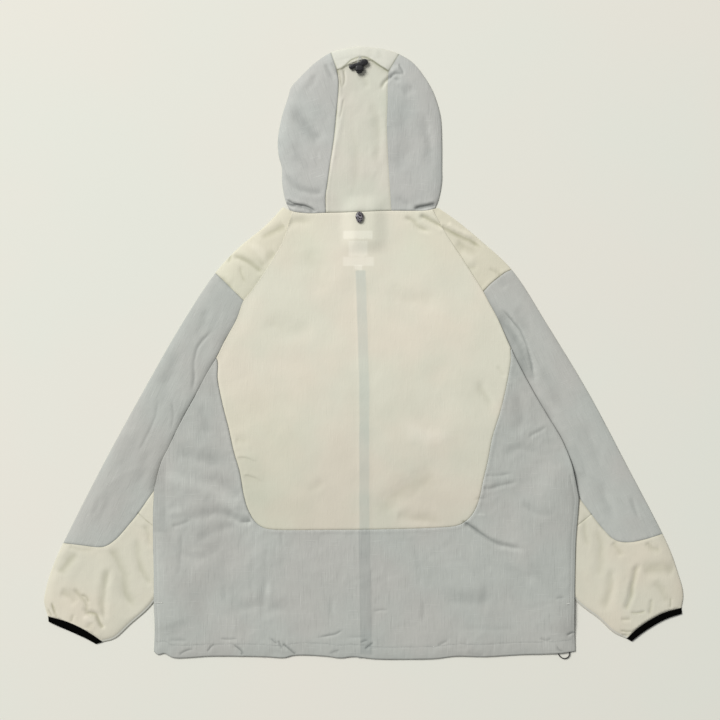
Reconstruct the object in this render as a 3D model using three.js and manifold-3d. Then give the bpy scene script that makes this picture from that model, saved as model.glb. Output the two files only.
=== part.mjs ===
// Hooded shell parka, laid flat on its front with the hood spread above it.
// Millimetres, +Z up. X runs across the back to the wearer's right, Y from the hem to the hood.
// The fronts lie on Z = 0 and the back lies over them; the origin is under the middle of the whole.
import * as THREE from "three";
import { mergeVertices } from "three/addons/utils/BufferGeometryUtils.js";
import Module from "manifold-3d";

const wasm = await Module();
wasm.setup();

// ---------------------------------------------------------------- driving dimensions
const WALL = 1.0; // cloth
const GAP = 0.3; // between pieces, at seams and between layers
const STACK = 4.95; // front + air + back over the middle of the body
const STACK_MAX = 5.9; // the air between the layers stays under 4
const EDGE_STACK = 2 * WALL + GAP + 0.05; // a pressed edge: two walls touching
const HEM_STACK = 3.9; // hem casing
const SLEEVE_STACK = 4.9;
const HOOD_STACK = 5.4;
const UNDER_BODY = 3.3; // sleeve pressed flat where the body lies on it
const EDGE_ROUND = 6; // run over which a pressed edge rises to the full stack
const ZIP = { tape: 10, chain: 3, slit: 5.3, top: 213.7 }; // half widths, and the chain's upper end
const SLIDER = { y: 220, half: 4.5, long: 6, floor: 2.9, roof: 5.2 };
const STRAP = { half: 1.2, reach: 4.5, post: 1.2, low: 0.3, thick: 0.8 };
const PULL = { y: 220, z: 2.0, bar: 0.6, inner: 1.9, half: 3.0, neck: 6, reach: 26 };
const SLIDER_LIFT = 4.2; // the fronts stand this far off the surface over the slider
const CORD = { radius: 0.8, sides: 8, steps: 26 };

// Body: half-open list of rows from the neck to the hem, with both side edges.
// Above -226 the edges are the armhole seams, below it the side seams.
const BODY_EDGE = [
  { y: 246, left: -113.5, right: 107.0 },
  { y: 233, left: -118.7, right: 114.6 },
  { y: 209, left: -125.5, right: 127.7 },
  { y: 184, left: -134.4, right: 143.7 },
  { y: 160, left: -147.7, right: 159.8 },
  { y: 131, left: -165.9, right: 178.3 },
  { y: 104, left: -184.5, right: 195.3 },
  { y: 87, left: -198.2, right: 204.2 },
  { y: 55, left: -210.3, right: 221.4 },
  { y: 21, left: -228.9, right: 236.3 },
  { y: -9, left: -244.0, right: 250.4 },
  { y: -30, left: -257.0, right: 261.0 },
  { y: -72, left: -279.0, right: 284.1 },
  { y: -104, left: -296.8, right: 303.1 },
  { y: -132, left: -311.0, right: 320.5 },
  { y: -155, left: -321.8, right: 332.0 },
  { y: -181, left: -334.4, right: 341.6 },
  { y: -204, left: -340.8, right: 347.2 },
  { y: -226, left: -345.9, right: 351.7 },
  { y: -240, left: -346.7, right: 354.0 },
  { y: -260, left: -347.7, right: 352.9 },
  { y: -309, left: -347.7, right: 349.0 },
  { y: -366, left: -346.5, right: 347.5 },
  { y: -411, left: -346.5, right: 346.9 },
  { y: -449, left: -344.9, right: 346.9 },
  { y: -474, left: -345.7, right: 348.1 },
  { y: -510, left: -347.5, right: 349.0 },
];
const BODY_ROWS = [
  218, 198, 178, 152, 125, 95, 55, 10, -30, -72, -112, -150, -190, -226, -252,
  -290, -340, -392, -435,
];
const NECK = [
  { x: -150, y: 249.5 }, { x: -133.2, y: 240.4 }, { x: -119, y: 233.8 },
  { x: -93, y: 230.2 }, { x: -64, y: 231.0 }, { x: -7, y: 232.3 },
  { x: 44, y: 234.4 }, { x: 78, y: 234.3 }, { x: 104, y: 235.2 },
  { x: 122.6, y: 239.6 }, { x: 140, y: 246.0 },
];
const HEM = [
  { x: -348, y: -491 }, { x: -340, y: -497.6 }, { x: -330, y: -495.4 },
  { x: -315, y: -502.2 }, { x: -249, y: -500.0 }, { x: -163, y: -501.0 },
  { x: -132, y: -502.6 }, { x: -115, y: -498.6 }, { x: -64, y: -500.0 },
  { x: -40, y: -503.0 }, { x: -18, y: -501.0 }, { x: 18, y: -504.6 },
  { x: 60, y: -505.2 }, { x: 118, y: -504.0 }, { x: 152, y: -500.2 },
  { x: 196, y: -501.0 }, { x: 260, y: -497.6 }, { x: 318, y: -495.8 },
  { x: 349, y: -491.8 },
];
// Seam between the upper panel and the lower one, down one side, across and up the other.
const YOKE = [
  { x: -262, y: -2 }, { x: -243, y: -9 }, { x: -240.9, y: -44 },
  { x: -232.6, y: -86 }, { x: -222.8, y: -124 }, { x: -214.5, y: -162 },
  { x: -204.6, y: -196 }, { x: -198, y: -234 }, { x: -191, y: -258 },
  { x: -180, y: -277 }, { x: -168, y: -286.5 }, { x: -153, y: -290.4 },
  { x: 26, y: -290.4 }, { x: 110, y: -288 }, { x: 152, y: -284.6 },
  { x: 165, y: -278.8 }, { x: 178, y: -266.5 }, { x: 188, y: -246 },
  { x: 196.3, y: -210 }, { x: 204.6, y: -175 }, { x: 211.2, y: -140 },
  { x: 224.4, y: -97 }, { x: 236.8, y: -44 }, { x: 242, y: -10 },
  { x: 243, y: 8 }, { x: 262, y: 14 },
];

// Sleeves: a section for each row, from the outer folded edge (ox, oy) to the armhole or the inner edge (ix, iy).
const SLEEVES = {
  left: {
    side: -1,
    armhole: 8, // sections that end on the armhole
    rows: [
      { ox: -133.2, oy: 240.6, ix: -118.8, iy: 233.6 },
      { ox: -160.0, oy: 210.5, ix: -132.0, iy: 190.0 },
      { ox: -204.6, oy: 171.6, ix: -160.0, iy: 140.0 },
      { ox: -243.5, oy: 130.7, ix: -198.7, iy: 87.1 },
      { ox: -300.0, oy: 44.6, ix: -230.0, iy: 18.0 },
      { ox: -369.0, oy: -75.6, ix: -272.0, iy: -58.0 },
      { ox: -434.0, oy: -194.8, ix: -311.5, iy: -133.0 },
      { ox: -494.3, oy: -313.5, ix: -345.8, iy: -226.0 },
      { ox: -509.0, oy: -344.2, ix: -320.0, iy: -276.0 },
      { ox: -518.0, oy: -369.0, ix: -307.0, iy: -330.0 },
      { ox: -524.7, oy: -398.0, ix: -347.0, iy: -411.5 },
      { ox: -525.5, oy: -409.0, ix: -386.0, iy: -448.6 },
      { ox: -524.2, oy: -421.5, ix: -411.0, iy: -471.0 },
      { ox: -521.2, oy: -434.4, ix: -430.5, iy: -476.8 },
      { ox: -520.4, oy: -443.0, ix: -441.7, iy: -480.0 },
    ],
    cap: [
      { x: -256, y: 142 }, { x: -234.3, y: 122.1 }, { x: -217.8, y: 105.6 },
      { x: -198.7, y: 87.1 }, { x: -184, y: 73 },
    ],
    split: [
      { x: -520, y: -310 }, { x: -494.3, y: -313.7 }, { x: -466.9, y: -316.8 },
      { x: -437.4, y: -320.1 }, { x: -424.9, y: -318.0 }, { x: -408, y: -306.4 },
      { x: -391, y: -287.4 }, { x: -372.2, y: -264.3 }, { x: -357.6, y: -243.2 },
      { x: -345.8, y: -226.4 }, { x: -330, y: -205 },
    ],
    gusset: [
      { x: -372.2, y: -264.3 }, { x: -350.1, y: -283.1 }, { x: -290, y: -322 },
    ],
    cuff: [
      { x: -545, y: -428 }, { x: -520.9, y: -434.4 }, { x: -496.6, y: -441.0 },
      { x: -473.1, y: -450.4 }, { x: -449.3, y: -463.6 }, { x: -430.5, y: -476.8 },
      { x: -412, y: -491 },
    ],
    probe: {
      cap: [-200, 150], main: [-360, -120], gusset: [-345, -262],
      lower: [-440, -400], binding: [-480, -456],
    },
  },
  right: {
    side: 1,
    armhole: 8,
    rows: [
      { ox: 122.8, oy: 238.9, ix: 113.8, iy: 235.1 },
      { ox: 150.0, oy: 219.0, ix: 136.6, iy: 194.5 },
      { ox: 193.0, oy: 183.0, ix: 165.0, iy: 152.0 },
      { ox: 234.5, oy: 136.6, ix: 196.5, iy: 102.0 },
      { ox: 302.0, oy: 43.0, ix: 229.0, iy: 38.0 },
      { ox: 368.0, oy: -67.5, ix: 268.0, iy: -43.0 },
      { ox: 432.0, oy: -188.6, ix: 315.5, iy: -124.0 },
      { ox: 490.0, oy: -299.0, ix: 354.1, iy: -238.0 },
      { ox: 505.0, oy: -332.0, ix: 321.0, iy: -276.0 },
      { ox: 516.0, oy: -364.0, ix: 309.0, iy: -330.0 },
      { ox: 524.7, oy: -390.0, ix: 347.8, iy: -406.4 },
      { ox: 525.5, oy: -404.0, ix: 388.0, iy: -439.5 },
      { ox: 524.6, oy: -412.0, ix: 412.0, iy: -461.5 },
      { ox: 523.7, oy: -420.1, ix: 433.3, iy: -471.2 },
      { ox: 524.7, oy: -429.7, ix: 440.9, iy: -475.7 },
    ],
    cap: [
      { x: 250, y: 151 }, { x: 234.5, y: 136.6 }, { x: 225.9, y: 129.7 },
      { x: 209.5, y: 115.8 }, { x: 196.5, y: 102 }, { x: 183, y: 88 },
    ],
    split: [
      { x: 515, y: -291 }, { x: 490, y: -299 }, { x: 457.4, y: -308.6 },
      { x: 438.4, y: -312.0 }, { x: 419.4, y: -310.5 }, { x: 408.9, y: -305.2 },
      { x: 394.2, y: -290.4 }, { x: 375.2, y: -266.3 }, { x: 354.1, y: -238 },
      { x: 338, y: -217 },
    ],
    gusset: [
      { x: 375.2, y: -266.3 }, { x: 350.6, y: -285 }, { x: 292, y: -322 },
    ],
    cuff: [
      { x: 548, y: -413 }, { x: 523.4, y: -420.1 }, { x: 495.8, y: -427.7 },
      { x: 470.2, y: -441.0 }, { x: 448.5, y: -456.2 }, { x: 433.3, y: -471.2 },
      { x: 419, y: -486 },
    ],
    probe: {
      cap: [195, 165], main: [360, -120], gusset: [347, -268],
      lower: [440, -400], binding: [480, -440],
    },
  },
};

const HOOD_ROWS = [
  { y: 233, left: -127.0, right: 117.0 },
  { y: 252, left: -129.9, right: 122.6 },
  { y: 282, left: -134.9, right: 128.4 },
  { y: 316, left: -137.6, right: 128.5 },
  { y: 350, left: -142.1, right: 128.5 },
  { y: 390, left: -134.7, right: 126.2 },
  { y: 425, left: -124.4, right: 116.2 },
  { y: 455, left: -106.5, right: 99.9 },
  { y: 479, left: -80.4, right: 80.4 },
  { y: 495, left: -55.8, right: 53.0 },
  { y: 504.85, left: -14.0, right: 6.0 },
];
const HOOD_SEAM_LEFT = [
  { x: -44.5, y: 465.3 }, { x: -41.9, y: 450.4 }, { x: -42.2, y: 430.6 },
  { x: -45.4, y: 396 }, { x: -49.5, y: 354 }, { x: -55.8, y: 312 },
  { x: -61, y: 274 }, { x: -63.2, y: 259 }, { x: -62.2, y: 220 },
];
const HOOD_SEAM_RIGHT = [
  { x: 40.4, y: 463.6 }, { x: 38.9, y: 438 }, { x: 38.9, y: 415 },
  { x: 37.8, y: 377 }, { x: 38.9, y: 343.5 }, { x: 40.9, y: 301.5 },
  { x: 43.1, y: 268 }, { x: 46.2, y: 220 },
];
const HOOD_BRIM = [
  { x: -60, y: 512 }, { x: -54.4, y: 495 }, { x: -44.5, y: 465.3 },
  { x: -31.3, y: 473.5 }, { x: -19.8, y: 483.4 }, { x: -6.6, y: 487.6 },
  { x: 6.6, y: 485.9 }, { x: 19.8, y: 477.7 }, { x: 33, y: 468.6 },
  { x: 40.4, y: 463.6 }, { x: 57.8, y: 493.3 }, { x: 68, y: 510 },
];
const FACE = { low: 264, high: 452, half: 17, points: 7 }; // the face opening, edges lying together

// The largest folds of the upper surface: ridges (+) and troughs (-), from one end to the other.
const FOLDS = [
  { x0: 103, y0: 218, x1: 196, y1: 172, width: 13, height: -1.3 },
  { x0: 92, y0: 226, x1: 190, y1: 192, width: 14, height: 0.8 },
  { x0: 58, y0: 224, x1: 112, y1: 194, width: 12, height: -0.8 },
  { x0: -166, y0: 198, x1: -90, y1: 208, width: 12, height: -1.0 },
  { x0: -214, y0: 158, x1: -172, y1: 130, width: 13, height: -1.0 },
  { x0: -236, y0: 4, x1: -262, y1: -34, width: 15, height: -1.2 },
  { x0: -285, y0: -10, x1: -284, y1: -85, width: 16, height: -0.9 },
  { x0: -318, y0: -78, x1: -316, y1: -124, width: 15, height: -0.8 },
  { x0: -345, y0: -80, x1: -378, y1: -186, width: 20, height: -0.9 },
  { x0: 272, y0: -128, x1: 303, y1: -121, width: 12, height: -0.8 },
  { x0: 200, y0: -224, x1: 252, y1: -214, width: 14, height: -0.9 },
  { x0: 168, y0: -280, x1: 272, y1: -326, width: 18, height: -0.9 },
  { x0: -226, y0: -276, x1: -188, y1: -272, width: 14, height: -0.9 },
  { x0: -218, y0: -146, x1: -176, y1: -206, width: 24, height: -0.6 },
  { x0: 20, y0: -272, x1: 124, y1: -202, width: 26, height: 0.6 },
  { x0: -422, y0: -350, x1: -436, y1: -412, width: 13, height: -1.0 },
  { x0: -476, y0: -390, x1: -470, y1: -404, width: 12, height: -0.8 },
  { x0: 455, y0: -352, x1: 440, y1: -386, width: 13, height: -1.0 },
  { x0: 474, y0: -402, x1: 470, y1: -428, width: 12, height: -0.8 },
  { x0: -105, y0: 408, x1: -60, y1: 292, width: 24, height: -0.9 },
  { x0: 84, y0: 412, x1: 78, y1: 268, width: 20, height: -0.8 },
  { x0: -128, y0: 248, x1: -80, y1: 230, width: 12, height: -1.2 },
  { x0: 76, y0: 240, x1: 120, y1: 246, width: 12, height: -1.0 },
  { x0: 26, y0: 436, x1: 64, y1: 462, width: 12, height: -1.0 },
];

const LABELS = [
  { name: "neck_label", x0: -34.3, x1: 14.0, y0: 188.1, y1: 201.0 },
  { name: "care_label_upper", x0: -25.6, x1: 6.0, y0: 159.2, y1: 184.5 },
  { name: "care_label_lower", x0: -34.6, x1: 16.2, y0: 143.5, y1: 158.2 },
];
const LABEL_TAB = { x0: -16, x1: -3, y0: 137, y1: 145 };

const HEM_LOOP = [
  { x: 321.5, y: -486, z: 2.0 }, { x: 320, y: -494, z: 1.95 },
  { x: 323.5, y: -500.5, z: 1.6 }, { x: 330.5, y: -503.9, z: 1.4 },
  { x: 337, y: -501, z: 1.6 }, { x: 339, y: -494.5, z: 1.9 },
  { x: 336.5, y: -486, z: 2.0 },
];

// ---------------------------------------------------------------- helpers
const clamp = (v, lo, hi) => Math.min(hi, Math.max(lo, v));
const smooth = (a, b, v) => {
  const t = clamp((v - a) / (b - a), 0, 1);
  return t * t * (3 - 2 * t);
};
const lookup = (table, key, value, at) => {
  const rows = [...table].sort((p, q) => p[key] - q[key]);
  if (at <= rows[0][key]) return rows[0][value];
  for (let i = 1; i < rows.length; i++)
    if (at <= rows[i][key]) {
      const p = rows[i - 1], q = rows[i];
      return p[value] + ((q[value] - p[value]) * (at - p[key])) / (q[key] - p[key]);
    }
  return rows[rows.length - 1][value];
};
const neckY = (x) => lookup(NECK, "x", "y", x);
const hemY = (x) => lookup(HEM, "x", "y", x);
const leftX = (y) => lookup(BODY_EDGE, "y", "left", y);
const rightX = (y) => lookup(BODY_EDGE, "y", "right", y);

const toSegment = (x, y, x0, y0, x1, y1) => {
  const dx = x1 - x0, dy = y1 - y0;
  const t = clamp(((x - x0) * dx + (y - y0) * dy) / (dx * dx + dy * dy), 0, 1);
  return Math.hypot(x - x0 - t * dx, y - y0 - t * dy);
};
const inside = (x, y, ring) => {
  let hit = false;
  for (let i = 0, j = ring.length - 1; i < ring.length; j = i++) {
    const a = ring[i], b = ring[j];
    if (a.y > y !== b.y > y && x < ((b.x - a.x) * (y - a.y)) / (b.y - a.y) + a.x)
      hit = !hit;
  }
  return hit;
};
const outsideOf = (x, y, ring) => {
  if (inside(x, y, ring)) return 0;
  let d = Infinity;
  ring.forEach((a, i) => {
    const b = ring[(i + 1) % ring.length];
    d = Math.min(d, toSegment(x, y, a.x, a.y, b.x, b.y));
  });
  return d;
};

// The part of each sleeve that lies under the body's side.
const HIDDEN = Object.values(SLEEVES).map((s) => {
  const edge = s.rows.slice(s.armhole - 1, s.armhole + 3).map((r) => ({ x: r.ix, y: r.iy }));
  const last = edge[edge.length - 1];
  return [...edge, { x: last.x + s.side * 4, y: last.y - 4 }, { x: edge[0].x + s.side * 4, y: edge[0].y }];
});
const nearHidden = (x, y) => Math.min(...HIDDEN.map((ring) => outsideOf(x, y, ring)));

const foldHeight = (x, y) =>
  FOLDS.reduce((sum, f) => {
    const d = toSegment(x, y, f.x0, f.y0, f.x1, f.y1) / f.width;
    return sum + f.height * Math.exp(-d * d);
  }, 0);
const rise = (d) => 1 - Math.exp(-Math.max(0, d) / EDGE_ROUND);

// Height of the underside: flat, but lifted over the slider and over the sleeves.
const underside = (x, y) => {
  const sx = smooth(42, 12, Math.abs(x)), sy = smooth(50, 24, Math.abs(y - 212));
  const over = (1 - smooth(38, 90, nearHidden(x, y))) * smooth(-480, -436, y);
  return Math.max(SLIDER_LIFT * sx * sy, (UNDER_BODY + GAP) * over);
};
const bodyStack = (x, y) => {
  const d = Math.min(x - leftX(y), rightX(y) - x);
  const onSide = smooth(-190, -232, y); // seams above the underarm lie flat, the side below it is a pressed edge
  const hem = rise(y - hemY(x));
  let full = clamp(STACK + foldHeight(x, y), 3.9, STACK_MAX);
  if (Math.abs(x) < 46 && y > 128) full = Math.max(full, STACK);
  full = Math.max(HEM_STACK, 0) + (full - HEM_STACK) * hem;
  full += 1.3 * Math.exp(-(((x - 331) / 20) ** 2) - ((y + 490) / 14) ** 2); // over the hem cord
  const edge = onSide * (1 - rise(d));
  return full + (EDGE_STACK - full) * edge;
};

// ---------------------------------------------------------------- solids
const solidFrom = (positions, triangles) => {
  const make = (tri) =>
    new wasm.Manifold(
      new wasm.Mesh({
        numProp: 3,
        vertProperties: new Float32Array(positions),
        triVerts: new Uint32Array(tri),
      }),
    );
  const made = make(triangles);
  if (made.volume() > 0) return made;
  for (let i = 0; i < triangles.length; i += 3)
    [triangles[i + 1], triangles[i + 2]] = [triangles[i + 2], triangles[i + 1]];
  return make(triangles);
};
const solidOf = (geometry) => {
  const g = geometry.clone();
  g.deleteAttribute("normal");
  g.deleteAttribute("uv");
  const m = mergeVertices(g, 1e-4);
  return solidFrom(m.attributes.position.array, Array.from(m.index.array));
};
// A closed wall over a grid of points, each { x, y, top, bottom }.
const wall = (grid) => {
  const rows = grid.length, cols = grid[0].length, half = rows * cols;
  const pos = [];
  for (const key of ["top", "bottom"])
    for (const row of grid) for (const p of row) pos.push(p.x, p.y, p[key]);
  const tri = [];
  const at = (j, i, layer) => layer * half + j * cols + i;
  for (let j = 0; j + 1 < rows; j++)
    for (let i = 0; i + 1 < cols; i++)
      for (const layer of [0, 1]) {
        const a = at(j, i, layer), b = at(j, i + 1, layer);
        const c = at(j + 1, i + 1, layer), d = at(j + 1, i, layer);
        const quad = [a, b, c, a, c, d];
        tri.push(...(layer ? quad.reverse() : quad));
      }
  const side = (p, q) => tri.push(at(...p, 0), at(...p, 1), at(...q, 1), at(...p, 0), at(...q, 1), at(...q, 0));
  for (let i = 0; i + 1 < cols; i++) {
    side([0, i], [0, i + 1]);
    side([rows - 1, i + 1], [rows - 1, i]);
  }
  for (let j = 0; j + 1 < rows; j++) {
    side([j + 1, 0], [j, 0]);
    side([j, cols - 1], [j + 1, cols - 1]);
  }
  return solidFrom(pos, tri);
};
const prism = (points, low = -20, high = 40) => {
  const shape = new THREE.Shape(points.map((p) => new THREE.Vector2(p.x, p.y)));
  const g = new THREE.ExtrudeGeometry(shape, { depth: high - low, bevelEnabled: false });
  g.translate(0, 0, low);
  return solidOf(g);
};
const offsetLine = (points, distance) =>
  points.map((p, i) => {
    const a = points[Math.max(0, i - 1)], b = points[Math.min(points.length - 1, i + 1)];
    const one = new THREE.Vector2(p.x - a.x, p.y - a.y), two = new THREE.Vector2(b.x - p.x, b.y - p.y);
    if (one.length() < 1e-9) one.copy(two);
    if (two.length() < 1e-9) two.copy(one);
    one.normalize();
    two.normalize();
    const n = new THREE.Vector2(-(one.y + two.y), one.x + two.x).normalize();
    const spread = Math.max(0.5, n.x * -one.y + n.y * one.x);
    return { x: p.x + (n.x * distance) / spread, y: p.y + (n.y * distance) / spread };
  });
// A thin upright blade along a seam: cutting with it leaves the seam's gap.
const blade = (points, low, high, width = GAP) =>
  prism([...offsetLine(points, width / 2), ...offsetLine(points, -width / 2).reverse()], low, high);
const box = (x0, x1, y0, y1, z0, z1) => {
  const g = new THREE.BoxGeometry(x1 - x0, y1 - y0, z1 - z0);
  g.translate((x0 + x1) / 2, (y0 + y1) / 2, (z0 + z1) / 2);
  return solidOf(g);
};
const pick = (solid, x, y, low = -5, high = 30) => {
  const probe = box(x - 0.6, x + 0.6, y - 0.6, y + 0.6, low, high);
  const found = solid.decompose().filter((s) => s.intersect(probe).volume() > 0.05);
  if (found.length !== 1) throw new Error("a seam leaves " + found.length + " pieces at " + x + ", " + y);
  return found[0];
};

const group = new THREE.Group();
const paint = {
  ivory: new THREE.MeshStandardMaterial({ color: 0xd6d2bf, roughness: 0.72, metalness: 0 }),
  grey: new THREE.MeshStandardMaterial({ color: 0xb0b2ae, roughness: 0.72, metalness: 0 }),
  tape: new THREE.MeshStandardMaterial({ color: 0x8f9390, roughness: 0.85, metalness: 0 }),
  label: new THREE.MeshStandardMaterial({ color: 0xe9e8e0, roughness: 0.8, metalness: 0 }),
  black: new THREE.MeshStandardMaterial({ color: 0x17171a, roughness: 0.8, metalness: 0 }),
  plastic: new THREE.MeshStandardMaterial({ color: 0x1b1a1e, roughness: 0.45, metalness: 0 }),
  metal: new THREE.MeshStandardMaterial({ color: 0x8b8d90, roughness: 0.4, metalness: 0.8 }),
};
const add = (name, solid, material, x = 0, y = 0, z = 0) => {
  const m = solid.getMesh(), n = m.numProp, pos = new Float32Array(m.numVert * 3);
  for (let i = 0; i < m.numVert; i++) {
    pos[3 * i] = m.vertProperties[i * n] - x;
    pos[3 * i + 1] = m.vertProperties[i * n + 1] - y;
    pos[3 * i + 2] = m.vertProperties[i * n + 2] - z;
  }
  const g = new THREE.BufferGeometry();
  g.setAttribute("position", new THREE.BufferAttribute(pos, 3));
  g.setIndex(new THREE.BufferAttribute(new Uint32Array(m.triVerts), 1));
  g.computeVertexNormals();
  const mesh = new THREE.Mesh(g, paint[material]);
  mesh.name = name;
  mesh.position.set(x, y, z);
  group.add(mesh);
};

// ---------------------------------------------------------------- body
// Columns of one row: close together at both edges and around the zip, even between them.
const EDGE_COLUMNS = [0, 5, 20, 58];
const bodyColumns = (y) => {
  const l = leftX(y), r = rightX(y);
  const scale = Math.min(1, (r - l) / 500);
  const inner = EDGE_COLUMNS[EDGE_COLUMNS.length - 1] * scale;
  const between = [0.66, 0.33];
  return [
    ...EDGE_COLUMNS.map((e) => l + e * scale),
    ...between.map((f) => -30 + (l + inner + 30) * f),
    -30, -ZIP.tape, 0, ZIP.tape, 30,
    ...between.map((f) => 30 + (r - inner - 30) * f).reverse(),
    ...EDGE_COLUMNS.map((e) => r - e * scale).reverse(),
  ];
};
const bodyRows = [
  { y: 236, at: (x) => neckY(x) + 4 },
  ...BODY_ROWS.map((y) => ({ y, at: () => y })),
  { y: -486, at: (x) => hemY(x) + 14 },
  { y: -495, at: (x) => hemY(x) + 4 },
  { y: -499, at: (x) => hemY(x) },
];
const bodyGrid = bodyRows.map((row) => bodyColumns(row.y).map((x) => ({ x, y: row.at(x) })));
const backGrid = bodyGrid.map((row) =>
  row.map((p) => {
    const top = underside(p.x, p.y) + bodyStack(p.x, p.y);
    return { ...p, top, bottom: top - WALL };
  }),
);
const frontGrid = bodyGrid.map((row) =>
  row.map((p) => {
    const bottom = underside(p.x, p.y);
    return { ...p, bottom, top: bottom + WALL };
  }),
);
const neckLine = NECK.map((p) => ({ x: p.x, y: p.y }));
const belowNeck = prism([
  ...offsetLine(neckLine, -GAP / 2), { x: 700, y: 244 }, { x: 700, y: -700 }, { x: -700, y: -700 }, { x: -700, y: 249 },
]);
const aboveNeck = prism([
  ...offsetLine(neckLine, GAP / 2), { x: 300, y: 246 }, { x: 300, y: 700 }, { x: -300, y: 700 }, { x: -300, y: 249.5 },
]);

const back = wall(backGrid).intersect(belowNeck);
const backParts = back.subtract(blade(YOKE));
add("back_upper", pick(backParts, 0, 60), "ivory");
add("back_lower", pick(backParts, 0, -400), "grey");

const zipSlit = box(-ZIP.slit, ZIP.slit, -700, 700, -5, 30);
const fronts = wall(frontGrid).intersect(belowNeck).subtract(zipSlit).subtract(blade(YOKE));
add("front_upper_left", pick(fronts, -80, 60), "ivory");
add("front_upper_right", pick(fronts, 80, 60), "ivory");
add("front_lower_left", pick(fronts, -80, -400), "grey");
add("front_lower_right", pick(fronts, 80, -400), "grey");

// ---------------------------------------------------------------- zip
const zipColumn = bodyGrid[0].findIndex((p) => p.x === 0);
const zipRows = bodyGrid
  .filter((row, j) => j === bodyGrid.length - 1 || bodyRows[j].y > 100) // flat below that
  .map((row) => row.slice(zipColumn - 1, zipColumn + 2));
const tape = wall(
  zipRows.map((row) =>
    row.map((p) => {
      const bottom = underside(p.x, p.y) + WALL + GAP;
      return { ...p, bottom, top: bottom + WALL };
    }),
  ),
).intersect(belowNeck);
add("zip_tape", tape, "tape");
const chain = wall(
  zipRows.map((row) =>
    row.map((p, i) => {
      const bottom = underside(0, p.y);
      return { x: (i - 1) * ZIP.chain, y: p.y, bottom, top: bottom + WALL };
    }),
  ),
).intersect(box(-20, 20, -700, ZIP.top, -5, 30));
add("zip_chain", chain, "tape");

const sliderBody = box(-SLIDER.half, SLIDER.half, SLIDER.y - SLIDER.long, SLIDER.y + SLIDER.long, SLIDER.floor, SLIDER.roof);
const strapEnds = [-1, 1].map((s) => {
  const outer = SLIDER.y + s * STRAP.reach, innerY = outer - s * STRAP.post;
  return box(-STRAP.half, STRAP.half, Math.min(outer, innerY), Math.max(outer, innerY), STRAP.low, SLIDER.floor + 0.5);
});
const strap = box(-STRAP.half, STRAP.half, SLIDER.y - STRAP.reach, SLIDER.y + STRAP.reach, STRAP.low, STRAP.low + STRAP.thick);
add("zip_slider", sliderBody.add(strapEnds[0]).add(strapEnds[1]).add(strap), "metal");

const barGeometry = new THREE.CylinderGeometry(PULL.bar, PULL.bar, 2 * PULL.half, 12);
barGeometry.rotateZ(Math.PI / 2);
barGeometry.translate(0, PULL.y, PULL.z);
const arm = (s) =>
  box(
    Math.min(s * PULL.inner, s * PULL.half), Math.max(s * PULL.inner, s * PULL.half),
    PULL.y - PULL.neck - 0.5, PULL.y, PULL.z - PULL.bar, PULL.z + PULL.bar,
  );
const tab = box(-PULL.half, PULL.half, PULL.y - PULL.reach, PULL.y - PULL.neck, PULL.z - PULL.bar, PULL.z + PULL.bar);
add("zip_pull", solidOf(barGeometry).add(arm(-1)).add(arm(1)).add(tab), "metal", 0, PULL.y, PULL.z);

// ---------------------------------------------------------------- blank labels, from the back's own points moved in
const inwards = back.translate([0, 0, -(WALL + GAP)]);
for (const l of LABELS) {
  let shape = box(l.x0, l.x1, l.y0, l.y1, -5, 30);
  if (l.name === "care_label_lower")
    shape = shape.add(box(LABEL_TAB.x0, LABEL_TAB.x1, LABEL_TAB.y0, LABEL_TAB.y1, -5, 30));
  add(l.name, inwards.intersect(shape), "label");
}

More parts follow.
